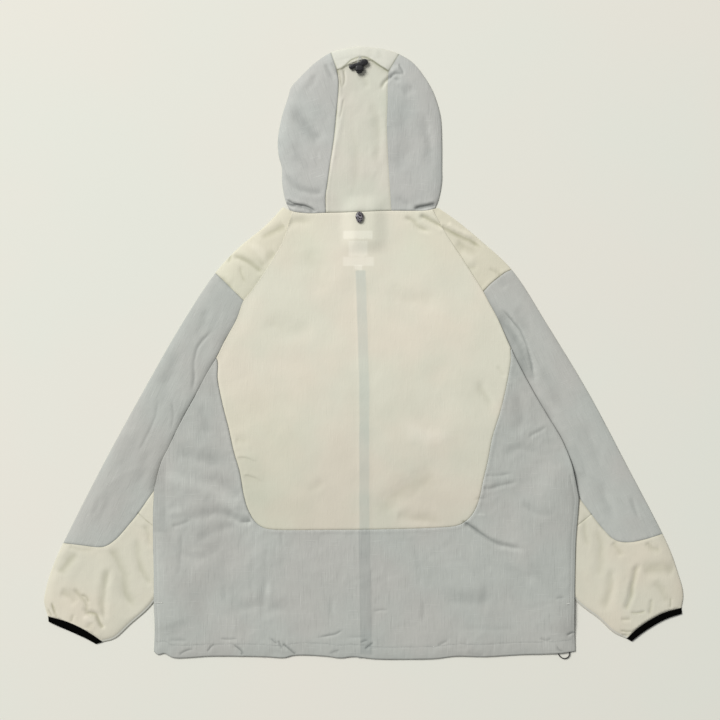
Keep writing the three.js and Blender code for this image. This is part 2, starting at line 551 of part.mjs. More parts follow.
// ---------------------------------------------------------------- sleeves
// Across a section: close together at both edges.
const across = (length) => {
  const e = Math.min(1, length / 110);
  return [0, 2.5 * e, 10 * e, 30 * e, length / 2, length - 30 * e, length - 10 * e, length - 2.5 * e, length];
};
for (const [name, s] of Object.entries(SLEEVES)) {
  const seamInset = (row) => (row < s.armhole ? -7 : 0); // sections on the armhole run past it and are cut back
  const section = (r, j, shrink) => {
    const length = Math.hypot(r.ix - r.ox, r.iy - r.oy) - seamInset(j);
    const ux = (r.ix - r.ox) / (length + seamInset(j)), uy = (r.iy - r.oy) / (length + seamInset(j));
    const from = shrink ? WALL : 0, to = shrink ? (j < s.armhole ? length + 3 : length - WALL) : length;
    return across(length).map((d) => {
      const t = from + ((to - from) * d) / length;
      const x = r.ox + ux * t, y = r.oy + uy * t;
      const outer = rise(d), innerEdge = j < s.armhole ? 1 : rise(length - d);
      let high = EDGE_STACK + (clamp(SLEEVE_STACK + foldHeight(x, y), 3.9, STACK_MAX) - EDGE_STACK) * Math.min(outer, innerEdge);
      const flat = UNDER_BODY + 1.5 * smooth(28, 75, nearHidden(x, y));
      if (y < -150) high = Math.min(high, flat + smooth(-230, -150, y) * 3);
      const low = y > 150 ? underside(x, y) : 0;
      high += low;
      return shrink ? { x, y, top: high - WALL, bottom: low + WALL } : { x, y, top: high, bottom: low };
    });
  };
  const outside = s.rows.map((r, j) => section(r, j, false));
  const core = s.rows.map((r, j) => section(r, j, true));
  // the core runs out of both ends
  const past = (a, b, d) => a.map((p, i) => {
    const q = b[i], len = Math.hypot(p.x - q.x, p.y - q.y) || 1;
    return { ...p, x: p.x + ((p.x - q.x) * d) / len, y: p.y + ((p.y - q.y) * d) / len };
  });
  core.unshift(past(core[0], core[1], 3));
  core.push(past(core[core.length - 1], core[core.length - 2], 3));
  const key = name === "left" ? "left" : "right";
  // the body's own edge points along the armhole
  const sampled = bodyRows.slice(0, BODY_ROWS.indexOf(-226) + 2).map((row) => {
    const x = lookup(BODY_EDGE, "y", key, row.y);
    return { x, y: row.at(x) };
  });
  const cutter = prism([
    ...offsetLine(sampled, s.side > 0 ? GAP : -GAP),
    { x: s.side * 250, y: sampled[sampled.length - 1].y + 4 }, { x: 0, y: 0 }, { x: 0, y: 300 },
  ]);
  const shell = wall(outside).subtract(wall(core)).subtract(cutter).intersect(belowNeck);
  const cut = shell.subtract(blade(s.cap)).subtract(blade(s.split)).subtract(blade(s.gusset)).subtract(blade(s.cuff));
  for (const [piece, colour] of [["cap", "ivory"], ["main", "grey"], ["gusset", "ivory"], ["lower", "ivory"], ["binding", "black"]]) {
    const label = piece === "binding" ? "cuff_binding_" + name : "sleeve_" + piece + "_" + name;
    add(label, pick(cut, ...s.probe[piece]), colour);
  }
}

// ---------------------------------------------------------------- hood
const hoodColumns = [0, 0.015, 0.06, 0.18, 0.34, 0.5, 0.66, 0.82, 0.94, 0.985, 1];
const hoodSection = (row, shrink) => {
  const inset = shrink ? WALL : 0;
  const l = row.left + inset, r = row.right - inset;
  return hoodColumns.map((f) => {
    const x = l + (r - l) * f;
    const y = row.y === 233 ? neckY(x) - 4 : row.y;
    const side = Math.min(f, 1 - f) * (row.right - row.left);
    const crown = 504.85 - y;
    const d = Math.min(side, crown);
    const full = clamp(HOOD_STACK + foldHeight(x, y), 4.2, STACK_MAX);
    const stack = EDGE_STACK + (full - EDGE_STACK) * rise(d) - 0;
    const neck = smooth(262, 236, y);
    const low = underside(x, y);
    const top = low + stack + (Math.max(STACK, 0) - stack) * neck * (side > 10 ? 1 : side / 10);
    return shrink ? { x, y, top: top - WALL, bottom: low + WALL } : { x, y, top, bottom: low };
  });
};
const hoodOuter = wall(HOOD_ROWS.map((r) => hoodSection(r, false)));
const hoodCoreRows = HOOD_ROWS.slice(0, -1).map((r) => hoodSection(r, true));
hoodCoreRows.unshift(hoodCoreRows[0].map((p) => ({ ...p, y: p.y - 6 })));
const hoodShell = hoodOuter.subtract(wall(hoodCoreRows)).intersect(aboveNeck);
const face = [];
for (let i = 0; i <= FACE.points; i++) {
  const t = i / FACE.points;
  face.push({ x: 0.2 + FACE.half * Math.sin(Math.PI * t) , y: FACE.low + (FACE.high - FACE.low) * t });
}
for (let i = FACE.points; i >= 0; i--) {
  const t = i / FACE.points;
  face.push({ x: -0.2 - FACE.half * Math.sin(Math.PI * t), y: FACE.low + (FACE.high - FACE.low) * t });
}
const SPLIT_TOP = 1.6, SPLIT_LOW = 3.3, SPLIT_NECK = 5.5; // heights inside the hood's hollow
const hoodParts = hoodShell
  .subtract(blade(HOOD_BRIM))
  .subtract(blade(HOOD_SEAM_LEFT, SPLIT_TOP, 40))
  .subtract(blade(HOOD_SEAM_RIGHT, SPLIT_TOP, 40))
  .subtract(blade([{ x: 0, y: 220 }, { x: 0, y: 250 }], -20, SPLIT_NECK))
  .subtract(blade([{ x: 0, y: 249 }, { x: 0, y: 487 }], -20, SPLIT_LOW))
  .subtract(prism(face, -20, SPLIT_LOW));
add("hood_centre", pick(hoodParts, 0, 350, 2, 30), "ivory");
add("hood_side_left", pick(hoodParts, -100, 350), "grey");
add("hood_side_right", pick(hoodParts, 90, 350), "grey");
add("hood_brim", pick(hoodParts, 0, 496), "ivory");

// ---------------------------------------------------------------- cord locks and the hem loop
const rounded = (w, h, r) => {
  const s = new THREE.Shape();
  s.moveTo(-w / 2 + r, -h / 2);
  s.lineTo(w / 2 - r, -h / 2);
  s.absarc(w / 2 - r, -h / 2 + r, r, -Math.PI / 2, 0);
  s.lineTo(w / 2, h / 2 - r);
  s.absarc(w / 2 - r, h / 2 - r, r, 0, Math.PI / 2);
  s.lineTo(-w / 2 + r, h / 2);
  s.absarc(-w / 2 + r, h / 2 - r, r, Math.PI / 2, Math.PI);
  s.lineTo(-w / 2, -h / 2 + r);
  s.absarc(-w / 2 + r, -h / 2 + r, r, Math.PI, 1.5 * Math.PI);
  return s;
};
const block = (w, h, r, depth, x, y, z, turn = 0, bevel = 0.8) => {
  const g = new THREE.ExtrudeGeometry(rounded(w - 2 * bevel, h - 2 * bevel, Math.max(0.5, r - bevel)), {
    depth: depth - 2 * bevel, bevelEnabled: true, bevelSize: bevel, bevelThickness: bevel, bevelSegments: 1, curveSegments: 3,
  });
  g.translate(0, 0, bevel);
  g.rotateZ(turn);
  g.translate(x, y, z);
  return solidOf(g);
};
const HOOD_LOCK = { x: -9, y: 474.5, z: 6.3, turn: 0.41, bar: [33, 7.5, 3.2], barHigh: 6.0, stem: [14.5, 11, 3], stemHigh: 8.2 };
const hoodLock = block(...HOOD_LOCK.bar, HOOD_LOCK.barHigh, HOOD_LOCK.x, HOOD_LOCK.y, HOOD_LOCK.z, HOOD_LOCK.turn)
  .add(block(...HOOD_LOCK.stem, HOOD_LOCK.stemHigh, HOOD_LOCK.x + 1.5, HOOD_LOCK.y - 6.5, HOOD_LOCK.z, 0.05));
add("hood_cord_lock", hoodLock, "plastic");
const NECK_LOCK = { x: -7.5, y: 223.2, z: 9.5, body: [13.2, 18.5, 6.2], high: 5.6 };
add("neck_cord_lock", block(...NECK_LOCK.body, NECK_LOCK.high, NECK_LOCK.x, NECK_LOCK.y, NECK_LOCK.z, 0, 1.2), "plastic");

const ring = new THREE.Shape(
  Array.from({ length: CORD.sides }, (_, i) => {
    const a = (2 * Math.PI * i) / CORD.sides;
    return new THREE.Vector2(CORD.radius * Math.cos(a), CORD.radius * Math.sin(a));
  }),
);
const loopPath = new THREE.CatmullRomCurve3(HEM_LOOP.map((p) => new THREE.Vector3(p.x, p.y, p.z)));
add("hem_cord", solidOf(new THREE.ExtrudeGeometry(ring, { steps: CORD.steps, bevelEnabled: false, extrudePath: loopPath })), "black");

export default group;
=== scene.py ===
import math
import bmesh
import bpy
import numpy as np
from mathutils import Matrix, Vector, kdtree
from mathutils.geometry import delaunay_2d_cdt


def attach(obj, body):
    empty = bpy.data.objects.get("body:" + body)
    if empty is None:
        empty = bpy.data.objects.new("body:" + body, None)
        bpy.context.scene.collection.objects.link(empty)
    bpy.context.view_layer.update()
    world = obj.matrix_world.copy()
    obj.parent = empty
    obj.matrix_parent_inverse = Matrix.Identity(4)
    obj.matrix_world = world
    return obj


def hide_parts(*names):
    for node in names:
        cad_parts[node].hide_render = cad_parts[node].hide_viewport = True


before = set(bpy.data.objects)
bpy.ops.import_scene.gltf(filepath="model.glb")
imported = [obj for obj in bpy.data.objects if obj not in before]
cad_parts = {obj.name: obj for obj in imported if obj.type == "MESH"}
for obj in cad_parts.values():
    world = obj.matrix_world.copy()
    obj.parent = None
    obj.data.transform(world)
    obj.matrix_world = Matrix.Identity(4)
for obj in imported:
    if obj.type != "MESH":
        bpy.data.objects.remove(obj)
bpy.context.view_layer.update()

MM = 0.001
scene = bpy.context.scene

# ---------------------------------------------------------------- camera
CAMERA_HEIGHT, FIELD = 3.0, 1.188
camera_data = bpy.data.cameras.new("camera")
camera = bpy.data.objects.new("camera", camera_data)
scene.collection.objects.link(camera)
camera.location = (-0.0066, -0.01155, CAMERA_HEIGHT)
camera_data.sensor_width = 36
camera_data.lens = 36 * CAMERA_HEIGHT / FIELD
camera_data.clip_end = 60
scene.camera = camera


# ---------------------------------------------------------------- small helpers
def smooth(a, b, v):
    t = np.clip((np.asarray(v, float) - a) / (b - a), 0, 1)
    return t * t * (3 - 2 * t)


def spline(points, step=3.0, closed=False):
    """A smooth line (centripetal Catmull-Rom) through points, sampled about every step."""
    p = np.asarray(points, float)
    if closed:
        p = np.vstack([p[-1], p, p[0], p[1]])
    else:
        p = np.vstack([2 * p[0] - p[1], p, 2 * p[-1] - p[-2]])
    out = []
    for i in range(1, len(p) - 2):
        a, b, c, d = p[i - 1 : i + 3]
        t0 = 0.0
        t1 = t0 + max(1e-6, np.linalg.norm(b - a)) ** 0.5
        t2 = t1 + max(1e-6, np.linalg.norm(c - b)) ** 0.5
        t3 = t2 + max(1e-6, np.linalg.norm(d - c)) ** 0.5
        n = max(1, int(round(np.linalg.norm(c - b) / step)))
        t = np.linspace(t1, t2, n, endpoint=False)[:, None]
        a1 = (t1 - t) / (t1 - t0) * a + (t - t0) / (t1 - t0) * b
        a2 = (t2 - t) / (t2 - t1) * b + (t - t1) / (t2 - t1) * c
        a3 = (t3 - t) / (t3 - t2) * c + (t - t2) / (t3 - t2) * d
        b1 = (t2 - t) / (t2 - t0) * a1 + (t - t0) / (t2 - t0) * a2
        b2 = (t3 - t) / (t3 - t1) * a2 + (t - t1) / (t3 - t1) * a3
        out.append((t2 - t) / (t2 - t1) * b1 + (t - t1) / (t2 - t1) * b2)
    if not closed:
        out.append(p[-2:-1])
    return np.vstack(out)


def resample(line, step):
    """A polyline's points again, evenly spaced, keeping both ends."""
    line = np.asarray(line, float)
    run = np.r_[0, np.cumsum(np.hypot(*np.diff(line, axis=0).T))]
    n = max(1, int(round(run[-1] / step)))
    s = np.linspace(0, run[-1], n + 1)
    return np.c_[np.interp(s, run, line[:, 0]), np.interp(s, run, line[:, 1])]


def length_of(line):
    return float(np.hypot(*np.diff(np.asarray(line, float), axis=0).T).sum())


def meet(a, b):
    """Where polyline a first crosses polyline b: the point and both segment numbers."""
    for i in range(len(a) - 1):
        p, r = a[i], a[i + 1] - a[i]
        q, s = b[:-1], b[1:] - b[:-1]
        den = r[0] * s[:, 1] - r[1] * s[:, 0]
        den = np.where(np.abs(den) < 1e-12, 1e-12, den)
        w = q - p
        t = (w[:, 0] * s[:, 1] - w[:, 1] * s[:, 0]) / den
        u = (w[:, 0] * r[1] - w[:, 1] * r[0]) / den
        ok = np.where((t >= 0) & (t <= 1) & (u >= 0) & (u <= 1))[0]
        if len(ok):
            j = ok[np.argmin(t[ok])]
            return p + t[j] * r, i, int(j)
    raise ValueError("two lines do not meet")


def cut_from(line, other):
    """line from its crossing with other to its end."""
    point, i, _ = meet(line, other)
    return np.vstack([point, line[i + 1 :]])


def cut_to(line, other):
    """line from its start to its crossing with other."""
    point, i, _ = meet(line, other)
    return np.vstack([line[: i + 1], point])


def to_line(x, y, line, reach=None):
    """Distance, side (+ left of travel), run along the line and share of its length, for points near it."""
    line = np.asarray(line, float)
    n = len(x)
    dist, side, run = np.full(n, 1e9), np.ones(n), np.zeros(n)
    cum = np.r_[0, np.cumsum(np.hypot(*np.diff(line, axis=0).T))]
    near = np.ones(n, bool)
    if reach is not None:
        near = (
            (x > line[:, 0].min() - reach) & (x < line[:, 0].max() + reach)
            & (y > line[:, 1].min() - reach) & (y < line[:, 1].max() + reach)
        )
    at = np.where(near)[0]
    if not len(at):
        return dist, side, run, run
    px, py = x[at], y[at]
    if len(line) > 40:
        tree = kdtree.KDTree(len(line))
        for i, (a, b) in enumerate(line.tolist()):
            tree.insert((a, b, 0), i)
        tree.balance()
        k = np.array([tree.find((a, b, 0))[1] for a, b in zip(px.tolist(), py.tolist())])
        choices = [np.clip(k - 1, 0, len(line) - 2), np.clip(k, 0, len(line) - 2)]
    else:
        choices = [np.full(len(at), i) for i in range(len(line) - 1)]
    best, s_, r_ = np.full(len(at), 1e18), np.ones(len(at)), np.zeros(len(at))
    for c in choices:
        ax, ay = line[c, 0], line[c, 1]
        dx, dy = line[c + 1, 0] - ax, line[c + 1, 1] - ay
        l2 = dx * dx + dy * dy + 1e-12
        t = np.clip(((px - ax) * dx + (py - ay) * dy) / l2, 0, 1)
        ex, ey = px - ax - t * dx, py - ay - t * dy
        d2 = ex * ex + ey * ey
        m = d2 < best
        best = np.where(m, d2, best)
        s_ = np.where(m, np.where(dx * ey - dy * ex >= 0, 1.0, -1.0), s_)
        r_ = np.where(m, cum[c] + t * np.sqrt(l2), r_)
    dist[at], side[at], run[at] = np.sqrt(best), s_, r_
    return dist, side, run, run / max(cum[-1], 1e-9)


def inside(x, y, ring):
    hit = np.zeros(len(x), bool)
    ring = np.asarray(ring, float)
    for (ax, ay), (bx, by) in zip(ring, np.roll(ring, 1, axis=0)):
        if ay == by:
            continue
        m = (ay > y) != (by > y)
        hit ^= m & (x < (bx - ax) * (y - ay) / (by - ay) + ax)
    return hit


def noise(x, y, scale, seed, scale_y=None):
    """Gradient noise, about -0.7 to 0.7, with bumps about as wide as scale."""
    u, v = np.asarray(x, float) / scale, np.asarray(y, float) / (scale_y or scale)
    iu, iv = np.floor(u).astype(np.int64), np.floor(v).astype(np.int64)
    fu, fv = u - iu, v - iv

    def corner(i, j):
        h = (i * 73856093) ^ (j * 19349663) ^ (seed * 83492791)
        h &= 0x7FFFFFFF
        h = (h * 1103515245 + 12345) & 0x7FFFFFFF
        h ^= h >> 13
        h = (h * 1103515245 + 12345) & 0x7FFFFFFF
        a = ((h >> 8) % 4096) / 4096.0 * 2 * math.pi
        return np.cos(a), np.sin(a)

    su, sv = fu * fu * fu * (fu * (fu * 6 - 15) + 10), fv * fv * fv * (fv * (fv * 6 - 15) + 10)
    total = 0
    for di in (0, 1):
        for dj in (0, 1):
            gx, gy = corner(iu + di, iv + dj)
            w = (su if di else 1 - su) * (sv if dj else 1 - sv)
            total = total + w * (gx * (fu - di) + gy * (fv - dj))
    return total


def ridged(x, y, scale, seed, sharp=3.0, scale_y=None):
    """Thin crests that wander, from 0 to 1."""
    return np.clip(1 - 2.6 * np.abs(noise(x, y, scale, seed, scale_y)), 0, 1) ** sharp


# ---------------------------------------------------------------- cord
HEM_LOOP = [
    (321.5, -486, 2.0), (320, -494, 1.95), (323.5, -500.5, 1.6), (330.5, -503.9, 1.4),
    (337, -501, 1.6), (339, -494.5, 1.9), (336.5, -486, 2.0),
]


def catmull_uniform(points, per):
    """Points along the centripetal Catmull-Rom curve through the given ones."""
    p = np.asarray(points, float)
    p = np.vstack([2 * p[0] - p[1], p, 2 * p[-1] - p[-2]])
    out = []
    for i in range(1, len(p) - 2):
        a, b, c, d = p[i - 1 : i + 3]
        d0, d1, d2 = (np.dot(v, v) ** 0.25 for v in (b - a, c - b, d - c))
        t1 = ((b - a) / d0 - (c - a) / (d0 + d1) + (c - b) / d1) * d1
        t2 = ((c - b) / d1 - (d - b) / (d1 + d2) + (d - c) / d2) * d1
        for t in np.linspace(0, 1, per, endpoint=False):
            out.append(
                b * (2 * t**3 - 3 * t**2 + 1) + t1 * (t**3 - 2 * t**2 + t)
                + c * (-2 * t**3 + 3 * t**2) + t2 * (t**3 - t**2)
            )
    out.append(p[-2])
    return np.array(out)


loop_points = catmull_uniform(HEM_LOOP, 10)
CORD_R, CORD_SIDES = 0.8, 20
ahead = np.gradient(loop_points, axis=0)
ahead /= np.linalg.norm(ahead, axis=1)[:, None]
aside = np.cross(ahead, (0.0, 0.0, 1.0))
aside /= np.linalg.norm(aside, axis=1)[:, None]
over = np.cross(aside, ahead)
ring = np.linspace(0, 2 * math.pi, CORD_SIDES, endpoint=False)
cord_verts, cord_faces = [], []
for at, u, v in zip(loop_points, aside, over):
    cord_verts += [tuple((at + CORD_R * (u * math.cos(a) + v * math.sin(a))) * MM) for a in ring]
for i in range(len(loop_points) - 1):
    for j in range(CORD_SIDES):
        k = (j + 1) % CORD_SIDES
        a, b = i * CORD_SIDES, (i + 1) * CORD_SIDES
        cord_faces.append((a + j, a + k, b + k, b + j))
cord_faces.append(tuple(range(CORD_SIDES - 1, -1, -1)))
cord_faces.append(tuple(range((len(loop_points) - 1) * CORD_SIDES, len(loop_points) * CORD_SIDES)))
cord_mesh = bpy.data.meshes.new("hem_cord_loop")
cord_mesh.from_pydata(cord_verts, [], cord_faces)
round_cord = bmesh.new()
round_cord.from_mesh(cord_mesh)
bmesh.ops.recalc_face_normals(round_cord, faces=round_cord.faces)
round_cord.to_mesh(cord_mesh)
round_cord.free()
for face in cord_mesh.polygons:
    face.use_smooth = len(face.vertices) == 4
hem_cord = bpy.data.objects.new("hem_cord_loop", cord_mesh)
scene.collection.objects.link(hem_cord)
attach(hem_cord, "parka")
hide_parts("hem_cord")

# ---------------------------------------------------------------- sizes of the stack of cloth layers
WALL = 1.0
STACK, STACK_MAX = 4.95, 5.9
EDGE_STACK = 2.35
HEM_STACK, SLEEVE_STACK, HOOD_STACK = 3.9, 4.9, 5.4
UNDER_BODY, GAP = 3.3, 0.3
EDGE_ROUND = 6.0
SLIDER_LIFT = 4.2
SLIT = 5.3
CLOTH = 0.45
EDGE_THIN = 1.55

# rows: y, left edge, right edge
BODY_EDGE = np.array([
    (246, -113.5, 107.0), (233, -118.7, 114.6), (209, -125.5, 127.7), (184, -134.4, 143.7),
    (160, -147.7, 159.8), (131, -165.9, 178.3), (104, -184.5, 195.3), (87, -198.2, 204.2),
    (55, -210.3, 221.4), (21, -228.9, 236.3), (-9, -244.0, 250.4), (-30, -257.0, 261.0),
    (-72, -279.0, 284.1), (-104, -296.8, 303.1), (-132, -311.0, 320.5), (-155, -321.8, 332.0),
    (-181, -334.4, 341.6), (-204, -340.8, 347.2), (-226, -345.9, 351.7), (-240, -346.7, 354.0),
    (-260, -347.7, 352.9), (-309, -347.7, 349.0), (-366, -346.5, 347.5), (-411, -346.5, 346.9),
    (-449, -344.9, 346.9), (-474, -345.7, 348.1), (-510, -347.5, 349.0),
])
# lines: x, y
NECK = [
    (-150, 249.5), (-133.2, 240.4), (-119, 233.8), (-93, 230.2), (-64, 231.0), (-7, 232.3),
    (44, 234.4), (78, 234.3), (104, 235.2), (122.6, 239.6), (140, 246.0),
]
HEM = [
    (-348, -491), (-340, -497.6), (-330, -495.4), (-315, -502.2), (-249, -500.0), (-163, -501.0),
    (-132, -502.6), (-115, -498.6), (-64, -500.0), (-40, -503.0), (-18, -501.0), (18, -504.6),
    (60, -505.2), (118, -504.0), (152, -500.2), (196, -501.0), (260, -497.6), (318, -495.8),
    (349, -491.8),
]
YOKE = [
    (-262, -2), (-243, -9), (-240.9, -44), (-232.6, -86), (-222.8, -124), (-214.5, -162),
    (-204.6, -196), (-198, -234), (-191, -258), (-180, -277), (-168, -286.5), (-153, -290.4),
    (-60, -291.2), (26, -290.4), (110, -288), (152, -284.6), (165, -278.8), (178, -266.5),
    (188, -246), (196.3, -210), (204.6, -175), (211.2, -140), (224.4, -97), (236.8, -44),
    (242, -10), (243, 8), (262, 14),
]
SLEEVES = {
    "left": {
        "side": -1, "armhole": 8,
        # outer x, outer y, inner x, inner y
        "rows": [
            (-133.2, 240.6, -118.8, 233.6), (-161.5, 210.5, -132.0, 190.0), (-208.6, 171.6, -160.0, 140.0),
            (-246.0, 130.7, -198.7, 87.1), (-302.6, 44.6, -230.0, 18.0), (-371.2, -75.6, -272.0, -58.0),
            (-436.0, -194.8, -311.5, -133.0), (-495.9, -313.5, -345.8, -226.0), (-509.8, -344.2, -320.0, -276.0),
            (-519.0, -369.0, -307.0, -330.0), (-526.3, -398.0, -347.0, -411.5), (-527.5, -409.0, -386.0, -448.6),
            (-525.2, -421.5, -411.0, -471.0), (-521.2, -434.4, -430.5, -476.8), (-520.4, -443.0, -441.7, -480.0),
        ],
        "cap": [(-256, 142), (-234.3, 122.1), (-217.8, 105.6), (-198.7, 87.1), (-184, 73)],
        "split": [
            (-520, -310), (-494.3, -313.7), (-466.9, -316.8), (-437.4, -320.1), (-424.9, -318.0),
            (-408, -306.4), (-391, -287.4), (-372.2, -264.3), (-357.6, -243.2), (-345.8, -226.4), (-330, -205),
        ],
        "gusset": [(-372.2, -264.3), (-350.1, -283.1), (-290, -322)],
        "cuff": [
            (-545, -428), (-520.9, -434.4), (-496.6, -441.0), (-473.1, -450.4), (-449.3, -463.6),
            (-430.5, -476.8), (-412, -491),
        ],
        "probe": {"cap": (-200, 150), "main": (-360, -120), "gusset": (-345, -262), "lower": (-440, -400), "binding": (-480, -456)},
        "grain": -25.5,
    },
    "right": {
        "side": 1, "armhole": 8,
        "rows": [
            (122.8, 238.9, 113.8, 235.1), (151.5, 219.0, 136.6, 194.5), (195.0, 183.0, 165.0, 152.0),
            (244.0, 136.6, 196.5, 102.0), (304.3, 43.0, 229.0, 38.0), (371.0, -67.5, 268.0, -43.0),
            (435.0, -188.6, 315.5, -124.0), (492.5, -299.0, 354.1, -238.0), (507.2, -332.0, 321.0, -276.0),
            (518.0, -364.0, 309.0, -330.0), (525.5, -390.0, 347.8, -406.4), (526.3, -404.0, 388.0, -439.5),
            (525.0, -412.0, 412.0, -461.5), (523.7, -420.1, 433.3, -471.2), (524.7, -429.7, 440.9, -475.7),
        ],
        "cap": [(258, 146), (243.5, 137.6), (233.5, 133.0), (225.9, 127.5), (209.5, 114.5), (196.5, 101), (183, 87)],
        "split": [
            (515, -291), (490, -299), (457.4, -308.6), (438.4, -312.0), (419.4, -310.5), (408.9, -305.2),
            (394.2, -290.4), (375.2, -266.3), (354.1, -238), (338, -217),
        ],
        "gusset": [(375.2, -266.3), (350.6, -285), (292, -322)],
        "cuff": [
            (548, -413), (523.4, -420.1), (495.8, -427.7), (470.2, -441.0), (448.5, -456.2),
            (433.3, -471.2), (419, -486),
        ],
        "probe": {"cap": (195, 165), "main": (360, -120), "gusset": (347, -268), "lower": (440, -400), "binding": (480, -440)},
        "grain": 25.5,
    },
}
# rows: y, left, right
HOOD_ROWS = [
    (236, -123.0, 116.0), (252, -129.9, 122.6), (282, -135.2, 128.4), (305, -135.6, 128.5),
    (325, -140.6, 128.6), (350, -142.3, 128.5), (390, -135.4, 126.2), (424, -124.6, 116.6), (437, -120.9, 110.8),
    (455, -105.6, 99.9),
    (479, -80.4, 80.4), (495, -55.8, 53.0), (501.5, -34.0, 30.0), (504.6, -14.0, 6.0),
]
HOOD_SEAM_LEFT = [
    (-44.5, 465.3), (-41.9, 450.4), (-42.2, 430.6), (-45.4, 396), (-49.5, 354), (-55.8, 312),
    (-61, 274), (-63.2, 259), (-62.2, 220),
]
HOOD_SEAM_RIGHT = [
    (40.4, 463.6), (38.9, 438), (38.9, 415), (37.8, 377), (38.9, 343.5), (40.9, 301.5),
    (43.1, 268), (46.2, 220),
]
HOOD_BRIM = [
    (-60, 512), (-54.4, 495), (-44.5, 465.3), (-31.3, 473.5), (-19.8, 483.4), (-6.6, 487.6),
    (6.6, 485.9), (19.8, 477.7), (33, 468.6), (40.4, 463.6), (57.8, 493.3), (68, 510),
]
FACE = {"low": 264, "high": 452, "half": 17}
LABELS = {
    "neck_label": (-34.3, 14.0, 188.1, 201.0),
    "care_label_upper": (-25.6, 6.0, 159.2, 184.5),
    "care_label_lower": (-34.6, 16.2, 143.5, 158.2),
}
LABEL_TAB = (-16, -3, 137, 145)

